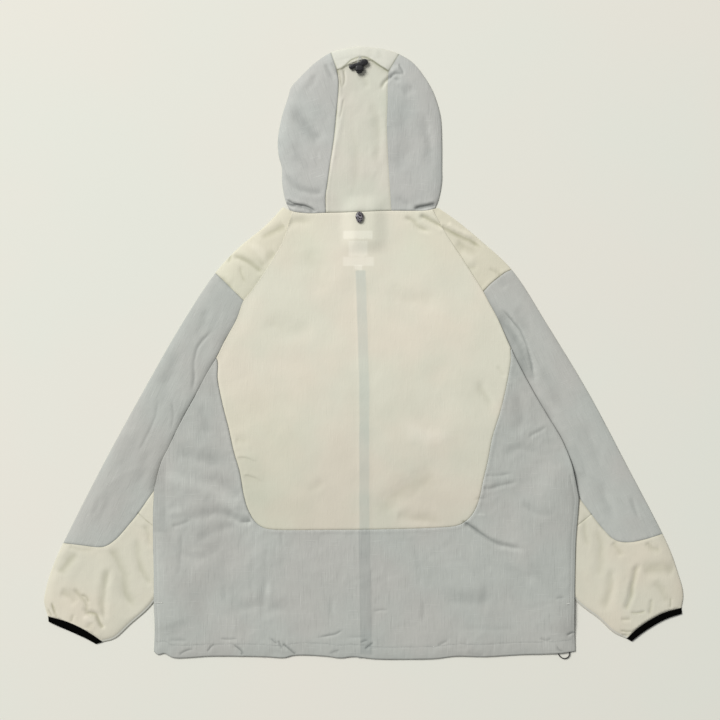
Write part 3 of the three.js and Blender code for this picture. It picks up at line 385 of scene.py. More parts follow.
# Folds of the upper surface. step: cloth stands higher on the left of the line's direction and drops
# sharply to the right of it; trough: a soft furrow; ridge: a soft crest.
# where, kind, width, depth, fade in, fade out, line
CREASES = [
    ("back", "trough", 7, 0.7, 0.05, 0.5, [(-211.2, -142.9), (-183.1, -142.9)]),
    ("back", "step", 7, 0.8, 0.02, 0.6, [(-208.6, -170.8), (-193, -172.4), (-173.2, -179.4)]),
    ("back", "step", 7, 0.9, 0.02, 0.6, [(-197, -200.8), (-181.5, -204.6), (-163.5, -214)]),
    ("back", "trough", 15, 1.1, 0.2, 0.2, [(19.8, -268.9), (46.2, -239.2), (73.3, -220.6), (126.6, -196.3)]),
    ("back", "trough", 10, 0.9, 0.1, 0.3, [(52.8, -268.9), (92.4, -272.2), (135.3, -280.5)]),
    ("back", "trough", 4, 0.6, 0.3, 0.3, [(217.8, -20), (225, -30), (232.8, -41)]),
    ("back", "trough", 7, 0.8, 0.3, 0.3, [(186, -42), (199, -68), (215.6, -93)]),
    ("back", "trough", 16, 0.8, 0.3, 0.3, [(33, 110.5), (79.2, 87.4), (135.3, 90.8)]),
    ("back", "trough", 16, 0.7, 0.3, 0.3, [(-168.3, 61), (-125.4, 37.9), (-75.9, 44.5)]),
    ("back", "ridge", 14, 0.7, 0.3, 0.3, [(56.1, -110.5), (99, -136.9), (155.1, -133.7)]),
    ("back", "trough", 18, 0.9, 0.3, 0.3, [(-105.6, 169.9), (-75.9, 136.9), (-62.7, 87.4)]),
    ("back", "trough", 3, 0.6, 0.05, 0.4, [(201, -203), (222, -202), (250, -197)]),
    ("back", "trough", 3.4, 1.2, 0.05, 0.3, [(196, -223), (208, -223.5), (220, -219.8), (235, -215.5), (256, -212)]),
    ("back", "trough", 1.7, 1.2, 0.03, 0.5, [(162, -276), (187, -294), (201, -303), (218, -312)]),
    ("back", "trough", 4.2, 2.2, 0.05, 0.4, [(165, -279), (187, -295), (201, -305), (218, -314), (244, -320), (275, -323)]),
    ("back", "ridge", 2.2, 0.5, 0.2, 0.3, [(186, -266), (203, -268)]),
    ("back", "trough", 3, 0.5, 0.3, 0.3, [(181, -241), (190, -240.5), (203, -239)]),
    ("back", "trough", 3.2, 0.9, 0.2, 0.2, [(270, -139), (283, -132), (301.6, -121)]),
    ("back", "trough", 3.4, 1.0, 0.2, 0.2, [(-318, -283), (-306, -283.5), (-285, -275)]),
    ("back", "trough", 6, 1.5, 0.5, 0.03, [(-236, -262), (-220, -268), (-204, -275), (-187, -278)]),
    ("back", "trough", 2.2, 0.9, 0.4, 0.05, [(-206, -279), (-196, -279), (-186, -277)]),
    ("back", "trough", 4, 0.7, 0.2, 0.2, [(-305, -372), (-302, -335), (-300, -296)]),
    ("back", "trough", 10, 1.0, 0.3, 0.1, [(-262, -199.6), (-240, -210), (-220, -222), (-203, -238)]),
    ("back", "trough", 10, 1.2, 0.3, 0.1, [(-300, -268), (-272, -268), (-240, -264), (-212, -268)]),
    ("back", "trough", 8, 1.0, 0.3, 0.1, [(-286, -316), (-262, -303), (-240, -290), (-206, -283)]),
    ("back", "ridge", 7, 0.8, 0.3, 0.3, [(-325, -262), (-306, -262), (-290, -258)]),
    ("back", "trough", 14, 1.5, 0.3, 0.3, [(-318, -160), (-272, -171), (-222, -190)]),
    ("back", "ridge", 10, 1.5, 0.15, 0.1, [(-334, -201.8), (-293, -214), (-253.3, -228.7), (-199.5, -260.2)]),
    ("back", "trough", 10, 0.7, 0.3, 0.3, [(-323.4, -316.8), (-273.9, -334.9), (-227.7, -321.8)]),
    ("back", "trough", 3, 0.25, 0.05, 0.5, [(-181.5, -293.7), (-179.8, -320)]),
    ("back", "trough", 3, 0.3, 0.05, 0.5, [(-136, -293.7), (-134.3, -330)]),
    ("back", "trough", 4, 0.4, 0.3, 0.3, [(-183, -323), (-186, -370), (-183, -412)]),
    ("back", "trough", 4, 0.35, 0.3, 0.3, [(-159, -309), (-162, -352), (-158, -394)]),
    ("back", "trough", 5, 0.25, 0.3, 0.3, [(89.1, -321.8), (92.4, -391)]),
    ("back", "trough", 12, 0.8, 0.3, 0.3, [(122.1, -387.8), (161.7, -407.5), (227.7, -400.9)]),
    ("back", "trough", 12, 0.8, 0.3, 0.3, [(-217.8, -427.3), (-168.3, -414.1), (-112.2, -427.3)]),
    ("back", "trough", 10, 0.8, 0.3, 0.2, [(224.4, -341.5), (257.4, -361.3), (303.6, -364.6)]),
    ("back", "trough", 8, 0.8, 0.3, 0.2, [(254.1, -242.5), (283.8, -262.3), (316.8, -265.6)]),
    ("back", "trough", 8, 0.9, 0.3, 0.2, [(224.4, -168.3), (257.4, -156.8), (290.4, -163.3)]),
    ("back", "trough", 10, 0.9, 0.3, 0.3, [(247.5, -57.8), (257.4, -94), (254.1, -133.7)]),
    ("back", "trough", 9, 0.8, 0.3, 0.3, [(-277.2, -80.8), (-264, -110.5), (-260.7, -143.5)]),
    ("back", "trough", 8, 0.8, 0.3, 0.3, [(-254.1, -31.3), (-247.5, -64.3), (-234.3, -90.8)]),
    ("back", "trough", 2.2, 0.7, 0.3, 0.3, [(315, -406), (322, -403), (332, -403)]),
    ("back", "trough", 2, 0.9, 0.3, 0.1, [(334, -467), (340, -463), (349, -460)]),
    ("back", "trough", 1.7, 1.0, 0.15, 0.1, [(-215, -481), (-207, -487), (-201, -493.5), (-203, -498)]),
    ("back", "trough", 1.7, 0.7, 0.15, 0.2, [(-141, -473), (-137, -481), (-134.5, -489)]),
    ("back", "trough", 1.7, 1.1, 0.1, 0.05, [(-134, -479), (-124, -488), (-113, -497)]),
    ("back", "trough", 1.8, 0.7, 0.2, 0.2, [(-154, -470), (-149, -475), (-143, -479)]),
    ("back", "trough", 1.8, 0.6, 0.2, 0.2, [(-58, -496.5), (-50, -492), (-39, -489)]),
    ("back", "trough", 2, 0.5, 0.3, 0.3, [(-239, -471), (-222, -472), (-207, -470.5)]),
    ("back", "trough", 2.4, 0.6, 0.2, 0.2, [(121, -484), (129, -479), (138, -474)]),
    ("back", "trough", 5, 0.6, 0.2, 0.1, [(170, -492), (181, -496), (196, -499)]),
    ("back", "trough", 2, 0.6, 0.2, 0.2, [(-306, -499), (-296, -492), (-281, -487)]),
    ("back", "trough", 2.4, 0.5, 0.2, 0.2, [(288, -470), (300, -474), (310, -470)]),
    ("back", "trough", 2, 0.6, 0.2, 0.2, [(318, -482), (322, -489), (330, -492)]),
    ("back", "trough", 2, 0.7, 0.2, 0.2, [(-258, -493), (-253, -486), (-246, -480)]),
    ("back", "trough", 2, 0.6, 0.4, 0.2, [(-80, -470), (-60, -466), (-46, -463), (-33, -454.7)]),
    ("back", "trough", 1.9, 0.9, 0.2, 0.2, [(1, -489), (8, -483), (16, -476)]),
    ("back", "trough", 2, 0.6, 0.3, 0.3, [(-6, -479), (0, -475), (7, -473)]),
    ("back", "trough", 2.2, 0.4, 0.3, 0.3, [(14, -426), (26, -424), (42, -424)]),
    ("back", "trough", 2.6, 0.35, 0.3, 0.3, [(-29.7, -467.8), (4.9, -467.3)]),
    ("back", "trough", 5, 0.3, 0.3, 0.3, [(155.1, -452), (204.6, -454.7), (257.4, -453)]),
    ("back", "trough", 3, 0.35, 0.2, 0.2, [(-321.8, -473), (-288.8, -474)]),
    ("left", "trough", 3.0, 1.1, 0.25, 0.15, [(-243, 42), (-270, 15), (-279.7, -13), (-280, -45), (-284, -66)]),
    ("left", "trough", 2.4, 0.8, 0.3, 0.3, [(-317, -76), (-314.4, -105), (-318, -130)]),
    ("left", "trough", 2.6, 0.8, 0.3, 0.3, [(-340, -68), (-344, -105), (-363, -147), (-377, -172)]),
    ("left", "trough", 12, 1, 0.3, 0.3, [(-306.9, 8.2), (-320.1, -31.3), (-336.6, -64.3)]),
    ("left", "trough", 12, 1, 0.3, 0.3, [(-372.9, -127), (-392.7, -173.2), (-405.9, -209.5)]),
    ("left", "trough", 8, 0.9, 0.3, 0.3, [(-415.8, -222.8), (-429, -259.1), (-442.2, -288.8)]),
    ("left", "trough", 7, 0.8, 0.3, 0.3, [(-257.4, 77.5), (-264, 51.1), (-277.2, 28)]),
    ("left", "trough", 9, 0.9, 0.3, 0.3, [(-349.8, -153.4), (-366.3, -193), (-376.2, -229.3)]),
    ("left", "trough", 5, 0.8, 0.3, 0.3, [(-432, -230), (-441, -253), (-451, -272)]),
    ("right", "trough", 6.5, 1.7, 0.15, 0.1, [(216, 60), (240, 38), (256, 20), (269, -5), (277, -30), (281, -52)]),
    ("right", "trough", 12, 1, 0.3, 0.3, [(290.4, -21.4), (310.2, -64.3), (323.4, -100.6)]),
    ("right", "trough", 12, 1, 0.3, 0.3, [(359.7, -110.5), (372.9, -150.2), (389.4, -186.4)]),
    ("right", "trough", 8, 0.9, 0.3, 0.3, [(386.1, -209.5), (399.3, -245.8), (415.8, -278.8)]),
    ("right", "trough", 8, 0.9, 0.3, 0.3, [(250.8, 80.8), (260.7, 51.1), (277.2, 24.8)]),
    ("right", "trough", 4, 0.8, 0.3, 0.3, [(455.4, -275.6), (445.5, -255.8), (438.9, -232.6)]),
    ("right", "trough", 9, 0.9, 0.3, 0.3, [(343.2, -143.5), (359.7, -183.1), (369.6, -216.1)]),
    ("left", "trough", 9, 1.5, 0.2, 0.2, [(-474.2, -326.7), (-488.4, -343.2), (-504.9, -364.6)]),
    ("left", "trough", 9, 1.3, 0.1, 0.2, [(-419.1, -320.1), (-407.5, -341.5), (-397.6, -364.6), (-394.3, -394.3), (-372.9, -424)]),
    ("left", "trough", 6.5, 1.3, 0.2, 0.15, [(-419.6, -349), (-426, -379), (-430, -406), (-429, -442)]),
    ("left", "trough", 7, 1.3, 0.2, 0.1, [(-376, -303), (-371, -345), (-363, -366), (-349, -383)]),
    ("left", "trough", 4.5, 1.6, 0.2, 0.1, [(-480, -386), (-469, -401), (-458, -416), (-460, -429)]),
    ("left", "trough", 3.6, 1.9, 0.2, 0.1, [(-462, -430), (-452, -428), (-442, -429.5), (-435.5, -443), (-429, -455)]),
    ("left", "ridge", 5, 1.2, 0.3, 0.3, [(-462, -433.1), (-453.8, -440.5), (-447.1, -447.1)]),
    ("left", "trough", 2.6, 0.9, 0.2, 0.2, [(-466, -398), (-458, -402), (-454, -412)]),
    ("left", "trough", 2, 0.8, 0.1, 0.3, [(-505.7, -438.1), (-511.5, -427.3), (-515.3, -410.8)]),
    ("left", "trough", 2, 0.7, 0.1, 0.3, [(-514, -433.9), (-520.6, -420.8)]),
    ("left", "trough", 6, 1, 0.2, 0.2, [(-364.6, -282.1), (-356.4, -298.6), (-350.6, -321.8)]),
    ("left", "trough", 4, 0.9, 0.05, 0.4, [(-455.4, -455.4), (-448.8, -440.5)]),
    ("left", "trough", 3, 0.8, 0.05, 0.4, [(-481.8, -443.8), (-478.5, -429)]),
    ("left", "trough", 9, 0.9, 0.2, 0.2, [(-501.6, -394.3), (-485.1, -400.9), (-471.9, -414.1)]),
    ("left", "trough", 5, 0.8, 0.1, 0.3, [(-486.8, -318.4), (-465.3, -323.4), (-442.2, -323.4)]),
    ("right", "trough", 4.5, 2.0, 0.2, 0.1, [(457, -345), (448, -357), (442, -383), (439, -402), (430, -425)]),
    ("right", "trough", 12, 1.3, 0.2, 0.2, [(455.4, -359.7), (485.1, -356.4), (514.8, -359.7)]),
    ("right", "trough", 2, 1.0, 0.2, 0.2, [(438, -428), (452, -427.5), (465, -425)]),
    ("right", "trough", 3, 0.8, 0.2, 0.2, [(422.4, -438.9), (440.5, -438.9)]),
    ("right", "trough", 3, 1.1, 0.2, 0.2, [(474, -404), (472, -421), (470, -433)]),
    ("right", "trough", 2, 0.6, 0.2, 0.2, [(505.9, -402.6), (505.6, -420.8)]),
    ("right", "trough", 1.8, 0.8, 0.2, 0.2, [(421, -458), (434, -459.5), (447, -458)]),
    ("right", "trough", 1.8, 0.7, 0.2, 0.2, [(424, -465), (438, -466)]),
    ("right", "trough", 5, 1, 0.05, 0.3, [(465.8, -312.7), (477.2, -321.8), (492, -324.4)]),
    ("right", "trough", 6, 1.2, 0.05, 0.3, [(410.8, -312.7), (417.4, -323.4), (425.7, -336.6)]),
    ("right", "trough", 8, 1, 0.2, 0.2, [(382.8, -288.8), (389.4, -328.3), (386.1, -374.5)]),
    ("right", "trough", 8, 1, 0.2, 0.2, [(409.2, -351.4), (405.9, -391), (396, -427.3)]),
    ("right", "trough", 9, 0.9, 0.2, 0.2, [(475.2, -374.5), (488.4, -391), (501.6, -414.1)]),
    ("right", "trough", 6, 0.9, 0.2, 0.2, [(366.3, -262.3), (363, -292.1), (369.6, -321.8)]),
    ("hood", "step", 7, 2.2, 0.1, 0.1, [(-43.4, 466.3), (-31.3, 470.9), (-19.8, 477.7), (-9.9, 481.5), (0, 483.1), (10.7, 481.8), (26.4, 473.5), (41.6, 464.6)]),
    ("hood", "trough", 3, 1.5, 0.2, 0.15, [(26, 433), (34, 446), (42, 453), (50, 459), (66, 460)]),
    ("hood", "ridge", 3.5, 1.2, 0.2, 0.2, [(44, 462), (52, 468), (60, 474)]),
    ("hood", "trough", 2.2, 1.0, 0.1, 0.3, [(57, 476), (63, 466), (66, 456)]),
    ("hood", "trough", 4, 1.2, 0.1, 0.3, [(44.5, 454.7), (52.8, 450.4), (60.2, 450.4)]),
    ("hood", "trough", 8, 1, 0.3, 0.3, [(64.3, 425.7), (82.5, 439.9)]),
    ("hood", "trough", 4, 1.1, 0.2, 0.3, [(-65, 476.8), (-57.8, 465.3), (-49.5, 448.8)]),
    ("hood", "trough", 3, 0.9, 0.2, 0.3, [(-54.4, 480.1), (-47.8, 466.9), (-42.9, 453.8)]),
    ("hood", "trough", 2.2, 1.2, 0.1, 0.3, [(-44.5, 468.6), (-39.6, 453.8), (-37.1, 433.9)]),
    ("hood", "trough", 2, 0.9, 0.1, 0.3, [(-33, 466.9), (-32, 450.4), (-35.6, 433.9)]),
    ("hood", "trough", 1.8, 0.8, 0.2, 0.3, [(-33, 420.8), (-36.3, 402.6), (-39.6, 382.8)]),
    ("hood", "ridge", 4, 1.1, 0.1, 0.3, [(-35.6, 430.6), (-37, 404.2), (-40.3, 372.9), (-45.5, 344.8), (-51.1, 308.6), (-56.1, 282.1)]),
    ("hood", "trough", 12, 1.9, 0.25, 0.2, [(-116, 410), (-101, 384), (-84, 364), (-66, 346)]),
    ("hood", "trough", 6, 1.5, 0.2, 0.1, [(-130.3, 298.6), (-118.8, 278.8), (-105.6, 268.9), (-92.4, 265.6), (-66, 263)]),
    ("hood", "step", 4, 1.4, 0.1, 0.15, [(-128, 254), (-117, 247), (-107, 244), (-95, 242), (-77, 232)]),
    ("hood", "trough", 3.4, 2.2, 0.1, 0.2, [(-127, 251), (-117, 245), (-107, 242), (-95, 240), (-78, 230)]),
    ("hood", "trough", 1.8, 1.8, 0.1, 0.25, [(-128, 254), (-117, 247), (-107, 244), (-95, 242), (-77, 232)]),
    ("hood", "trough", 4.0, 2.2, 0.2, 0.1, [(80, 237), (94, 240), (108, 242), (119, 244)]),
    ("hood", "trough", 1.8, 1.6, 0.3, 0.1, [(80, 237), (94, 241), (108, 243), (119, 245)]),
    ("hood", "trough", 17, 1.5, 0.25, 0.25, [(66, 430.6), (62.7, 367.9), (57.8, 310.2), (62.7, 262.3)]),
    ("hood", "trough", 5, 1.4, 0.05, 0.4, [(-4.9, 460.3), (1.6, 447.1), (8.2, 432.3)]),
    ("hood", "trough", 9, 1.1, 0.3, 0.3, [(92.4, 400.9), (105.6, 351.4), (108.9, 301.9)]),
    ("hood", "trough", 10, 1, 0.3, 0.3, [(-118.8, 351.4), (-105.6, 318.4), (-82.5, 292.1)]),
    ("hood", "trough", 8, 0.8, 0.3, 0.3, [(-23.1, 384.4), (-13.2, 318.4), (-19.8, 259.1)]),
    ("hood", "trough", 8, 0.9, 0.3, 0.3, [(13.2, 424), (23.1, 367.9), (19.8, 301.9)]),
    ("hood", "trough", 5, 0.9, 0.3, 0.3, [(56.1, 259.1), (66, 247.5), (79.2, 244.2)]),
    ("hood", "trough", 5, 0.9, 0.2, 0.3, [(-79.2, 460.3), (-85.8, 443.8), (-99, 430.6)]),
    ("left", "trough", 7, 1.3, 0.25, 0.05, [(-172, 189), (-158, 197), (-145, 203), (-131, 211)]),
    ("back", "trough", 8, 1.1, 0.05, 0.4, [(-131, 211), (-118, 216), (-104, 217), (-82, 211)]),
    ("left", "trough", 5.5, 1.5, 0.2, 0.15, [(-219, 160), (-205, 157), (-185, 145), (-166, 131)]),
    ("left", "trough", 8, 1.1, 0.1, 0.2, [(-144, 163), (-158, 154), (-172, 142)]),
    ("left", "trough", 3, 0.6, 0.25, 0.3, [(-204, 146), (-202, 128), (-193, 112)]),
    ("left", "trough", 3, 0.9, 0.1, 0.4, [(-220, 163), (-224, 146)]),
    ("left", "ridge", 6, 0.9, 0.3, 0.3, [(-190, 178), (-176, 172), (-166, 160), (-160, 142)]),
    ("left", "trough", 5, 0.8, 0.3, 0.3, [(-239, 128), (-226, 112), (-213, 101)]),
    ("back", "trough", 4, 2.5, 0.2, 0.0, [(90, 227), (104, 221), (119, 213), (131, 206)]),
    ("right", "trough", 4, 2.0, 0.0, 0.25, [(129, 207), (140, 202), (152, 196), (165, 190), (180, 183), (199, 172)]),
    ("right", "ridge", 4, 1.0, 0.1, 0.3, [(137, 214), (150, 206), (166, 199), (184, 190)]),
    ("back", "trough", 4, 1.9, 0.2, 0.3, [(66, 226), (80, 217), (91, 207), (112, 198)]),
    ("right", "trough", 12, 0.9, 0.25, 0.25, [(150, 184), (170, 172), (190, 166)]),
    ("right", "ridge", 9, 0.7, 0.3, 0.3, [(158, 170), (172, 160), (186, 150)]),
    ("right", "trough", 4, 0.8, 0.3, 0.1, [(204, 141), (213, 135), (227, 128)]),
    ("right", "trough", 5, 0.6, 0.3, 0.3, [(166, 142), (178, 141), (190, 141)]),
    ("right", "trough", 9, 0.8, 0.2, 0.3, [(222, 132), (226, 118), (237, 105)]),
    ("hood", "trough", 5, 0.4, 0.05, 0.5, [(10, 500), (13, 486)]),
    ("hood", "trough", 5, 0.4, 0.05, 0.5, [(27, 497), (30, 482)]),
    ("hood", "ridge", 3, 0.35, 0.4, 0.4, [(-84, 336), (-83, 313)]),
    ("hood", "ridge", 3, 0.35, 0.4, 0.4, [(-73, 336), (-71, 313)]),
    ("right", "trough", 9, 1.7, 0.12, 0.15, [(222, 70), (243, 40), (256, 8), (266, -22), (273, -46)]),
    ("right", "trough", 1.8, 1.6, 0.15, 0.25, [(226, 73), (249, 47), (259, 33), (269, 6), (277, -28), (281, -54)]),
    ("left", "trough", 1.7, 0.7, 0.2, 0.2, [(-515, -410), (-513, -419), (-508, -431)]),
    ("back", "trough", 6.5, 0.55, 0.4, 0.25, [(-97, -226), (-84, -223), (-74, -215), (-68, -205)]),
    ("hood", "trough", 1.7, 2.4, 0.05, 0.3, [(-129, 246.5), (-119, 243), (-108, 243.5), (-98, 238)]),
    ("hood", "trough", 3.0, 2.2, 0.25, 0.1, [(82, 238.5), (96, 239), (108, 242), (117, 245)]),
    ("back", "trough", 4.5, 0.45, 0.35, 0.35, [(-232, -378), (-230, -398), (-233, -416)]),
    ("back", "trough", 5, 0.8, 0.3, 0.35, [(-168, -362), (-165, -388), (-169, -424), (-166, -446)]),
    ("back", "ridge", 5, 0.7, 0.3, 0.35, [(-157, -372), (-155, -398), (-159, -430)]),
    ("back", "trough", 5, 0.55, 0.35, 0.35, [(-52, -396), (-54, -420), (-50, -448)]),
    ("back", "trough", 4, 0.7, 0.3, 0.3, [(95, -402), (98, -424), (94, -450)]),
    ("back", "trough", 6, 0.8, 0.3, 0.3, [(196, -372), (199, -398), (194, -430)]),

]

# ---------------------------------------------------------------- materials
def srgb(r, g, b):
    def lin(c):
        c /= 255
        return c / 12.92 if c <= 0.04045 else ((c + 0.055) / 1.055) ** 2.4
    return (lin(r), lin(g), lin(b), 1)


class Nodes:
    """A short way to write a material's nodes."""

    def __init__(self, name):
        self.material = bpy.data.materials.new(name)
        self.material.use_nodes = True
        self.tree = self.material.node_tree
        self.tree.nodes.clear()
        self.out = self.tree.nodes.new("ShaderNodeOutputMaterial")
        self.shader = self.tree.nodes.new("ShaderNodeBsdfPrincipled")
        self.tree.links.new(self.shader.outputs[0], self.out.inputs[0])

    def node(self, kind, **values):
        n = self.tree.nodes.new("ShaderNode" + kind)
        for k, v in values.items():
            if k.startswith("in_"):
                key = k[3:]
                n.inputs[int(key) if key.isdigit() else key].default_value = v
            else:
                setattr(n, k, v)
        return n

    def link(self, a, b):
        self.tree.links.new(a, b)

    def set(self, **values):
        for k, v in values.items():
            self.shader.inputs[k.replace("_", " ")].default_value = v


def coordinates(m, turn=0.0, scale=(1, 1, 1)):
    tex = m.node("TexCoord")
    mapping = m.node("Mapping")
    mapping.inputs["Rotation"].default_value = (0, 0, math.radians(turn))
    mapping.inputs["Scale"].default_value = scale
    # turn first, then stretch along the turned axes
    first = m.node("Mapping")
    first.inputs["Rotation"].default_value = (0, 0, math.radians(turn))
    mapping.inputs["Rotation"].default_value = (0, 0, 0)
    m.link(tex.outputs["Object"], first.inputs["Vector"])
    m.link(first.outputs[0], mapping.inputs["Vector"])
    return mapping.outputs[0]


def noise_node(m, vector, scale, detail=2.0, rough=0.5, distortion=0.0):
    n = m.node("TexNoise", noise_dimensions="3D")
    n.inputs["Scale"].default_value = scale
    n.inputs["Detail"].default_value = detail
    n.inputs["Roughness"].default_value = rough
    n.inputs["Distortion"].default_value = distortion
    m.link(vector, n.inputs["Vector"])
    return n.outputs[0]


def ranged(m, value, a, b, c, d, smooth_step=True):
    n = m.node("MapRange", interpolation_type="SMOOTHSTEP" if smooth_step else "LINEAR")
    for i, v in enumerate((a, b, c, d)):
        n.inputs[i + 1].default_value = v
    m.link(value, n.inputs[0])
    return n.outputs[0]


def maths(m, op, a, b):
    n = m.node("Math", operation=op)
    for i, v in enumerate((a, b)):
        if isinstance(v, (int, float)):
            n.inputs[i].default_value = v
        else:
            m.link(v, n.inputs[i])
    return n.outputs[0]


def times(m, colour, value):
    """colour times a grey value."""
    n = m.node("Vector" + "Math", operation="SCALE")
    m.link(colour, n.inputs[0])
    m.link(value, n.inputs["Scale"])
    return n.outputs[0]


def mixed(m, factor, a, b):
    n = m.node("Mix", data_type="RGBA")
    for i, v in ((6, a), (7, b)):
        if isinstance(v, tuple):
            n.inputs[i].default_value = v
        else:
            m.link(v, n.inputs[i])
    m.link(factor, n.inputs[0])
    return n.outputs[2]


def bumped(m, height, distance, strength=1.0, normal=None):
    n = m.node("Bump")
    n.inputs["Strength"].default_value = strength
    n.inputs["Distance"].default_value = distance
    m.link(height, n.inputs["Height"])
    if normal is not None:
        m.link(normal, n.inputs["Normal"])
    return n.outputs[0]


def woven(name, colour, warm, cool, slub, streak, cross, crinkle, turn=0.0, rough=0.62, sheen=0.12, drift=0.03):
    """A light plain-woven nylon: a fine grid of threads, slubs along the grain, a few across it, and a fine crinkle."""
    m = Nodes(name)
    flat = coordinates(m)
    grain = coordinates(m, turn, (1, 1, 1))
    along = coordinates(m, turn, (620, 26, 25))
    along_2 = coordinates(m, turn, (900, 60, 60))
    across = coordinates(m, turn, (30, 620, 30))
    a = noise_node(m, along, 1.0, 2.0, 0.55)
    b = noise_node(m, along_2, 1.0, 1.0, 0.5)
    c = noise_node(m, across, 1.0, 1.0, 0.5)
    thick = ranged(m, a, 0.58, 0.72, 0.0, 1.0)
    thin = ranged(m, a, 0.28, 0.42, 1.0, 0.0)
    short = ranged(m, c, 0.64, 0.74, 0.0, 1.0)
    # colour
    wide = noise_node(m, flat, 7.0, 3.0, 0.5)
    base = mixed(m, ranged(m, wide, 0.36, 0.64, 0.0, 1.0), warm, cool)
    patch = noise_node(m, flat, 19.0, 2.0, 0.5)
    shade = ranged(m, patch, 0.3, 0.7, 1 - drift, 1 + drift)
    streaks = maths(m, "SUBTRACT", maths(m, "MULTIPLY", thick, streak), maths(m, "MULTIPLY", thin, streak * 0.9))
    streaks = maths(m, "ADD", streaks, maths(m, "MULTIPLY", maths(m, "SUBTRACT", b, 0.5), streak * 0.9))
    streaks = maths(m, "ADD", streaks, maths(m, "MULTIPLY", short, cross))
    shade = maths(m, "MULTIPLY", shade, maths(m, "ADD", streaks, 1.0))
    # the tone attribute carries show-through colour and the painted shade and highlights set on the mesh
    tone = m.node("Attribute", attribute_name="tone", attribute_type="GEOMETRY")
    toned = m.node("VectorMath", operation="MULTIPLY")
    m.link(base, toned.inputs[0])
    m.link(tone.outputs["Color"], toned.inputs[1])
    m.link(times(m, toned.outputs[0], shade), m.shader.inputs["Base Color"])
    # relief
    warp = m.node("TexWave", wave_type="BANDS", bands_direction="X")
    weft = m.node("TexWave", wave_type="BANDS", bands_direction="Y")
    for n in (warp, weft):
        n.inputs["Scale"].default_value = 640
        n.inputs["Distortion"].default_value = 0.6
        n.inputs["Detail"].default_value = 1
        m.link(grain, n.inputs["Vector"])
    weave = maths(m, "MULTIPLY", warp.outputs["Fac"], weft.outputs["Fac"])
    wrinkle = noise_node(m, coordinates(m, turn, (1.0, 0.5, 1)), 150, 4.0, 0.55, 0.4)
    normal = bumped(m, wrinkle, crinkle)
    normal = bumped(m, maths(m, "ADD", maths(m, "SUBTRACT", thick, maths(m, "MULTIPLY", thin, 0.6)), maths(m, "MULTIPLY", short, 0.7)), slub, 1.0, normal)
    normal = bumped(m, weave, 0.00004, 0.6, normal)
    m.link(normal, m.shader.inputs["Normal"])
    m.link(ranged(m, wrinkle, 0.3, 0.7, rough - 0.05, rough + 0.06), m.shader.inputs["Roughness"])
    m.set(Specular_IOR_Level=0.32, Sheen_Weight=sheen, Sheen_Roughness=0.45, IOR=1.5)
    return m.material


IVORY = dict(colour=None, slub=0.00006, streak=0.012, cross=0.006, crinkle=0.00022, rough=0.6, sheen=0.10, drift=0.012)
GREY = dict(colour=None, slub=0.00011, streak=0.10, cross=0.09, crinkle=0.00030, rough=0.64, sheen=0.10, drift=0.018)
ivory_warm, ivory_cool = srgb(218, 211, 194), srgb(213, 211, 194)
grey_warm, grey_cool = srgb(177, 177, 171), srgb(175, 178, 172)
ivory_body = woven("ivory_nylon_body", warm=ivory_warm, cool=ivory_cool, **IVORY)
ivory_brim = woven("ivory_nylon_brim", warm=srgb(208, 205, 193), cool=srgb(205, 206, 194), **IVORY)
ivory_hood = woven("ivory_nylon_hood", warm=srgb(205, 201, 188), cool=srgb(202, 203, 188), **IVORY)
ivory_shoulder = woven("ivory_nylon_shoulder", warm=srgb(211, 206, 186), cool=srgb(208, 206, 186), turn=0, **IVORY)
ivory_sleeve = woven("ivory_nylon_sleeve", warm=srgb(211, 204, 186), cool=srgb(207, 204, 187), **IVORY)
grey_body = woven("grey_nylon_body", warm=grey_warm, cool=grey_cool, **GREY)
GREY_SLEEVE = {**GREY, "streak": 0.065, "cross": 0.05, "slub": 0.00010}
grey_sleeves = {
    "left": woven("grey_nylon_sleeve_left", warm=grey_warm, cool=grey_cool, turn=25.5, **GREY_SLEEVE),
    "right": woven("grey_nylon_sleeve_right", warm=srgb(181, 181, 175), cool=srgb(179, 182, 176), turn=-25.5, **GREY_SLEEVE),
}
grey_hood = {
    "left": woven("grey_nylon_hood_left", warm=srgb(182, 182, 177), cool=srgb(180, 183, 178), turn=-18, **GREY),
    "right": woven("grey_nylon_hood_right", warm=srgb(182, 182, 177), cool=srgb(180, 183, 178), turn=4, **GREY),
}


def plain(name, colour, rough, spread=0.04, scale=900, bump=0.0001, metal=0.0, specular=0.4, coat=0.0, speckle=None, ribs=None):
    m = Nodes(name)
    flat = coordinates(m)
    n = noise_node(m, flat, scale, 3.0, 0.55)
    base = mixed(m, ranged(m, n, 0.35, 0.65, 0.0, 1.0), tuple(c * (1 - spread) for c in colour[:3]) + (1,), tuple(min(1, c * (1 + spread)) for c in colour[:3]) + (1,))
    height = n
    if speckle is not None:
        spots = noise_node(m, flat, 620, 1.5, 0.5)
        base = mixed(m, ranged(m, spots, 0.50, 0.58, 0.0, 1.0), base, speckle)
    if ribs is not None:
        turn, per_metre, depth = ribs
        wave = m.node("TexWave", wave_type="BANDS", bands_direction="X")
        wave.inputs["Scale"].default_value = per_metre / 20 * 2 * math.pi / 2
        wave.inputs["Distortion"].default_value = 0.3
        m.link(coordinates(m, turn), wave.inputs["Vector"])
        base = mixed(m, wave.outputs["Fac"], tuple(c * 0.6 for c in colour[:3]) + (1,), base)
        normal = bumped(m, wave.outputs["Fac"], depth)
        normal = bumped(m, height, bump, 1.0, normal)
    else:
        normal = bumped(m, height, bump)
    m.link(base, m.shader.inputs["Base Color"])
    m.link(normal, m.shader.inputs["Normal"])
    m.link(ranged(m, n, 0.3, 0.7, max(0.05, rough - 0.06), min(1, rough + 0.06)), m.shader.inputs["Roughness"])
    m.set(Metallic=metal, Specular_IOR_Level=specular, Coat_Weight=coat)
    return m.material


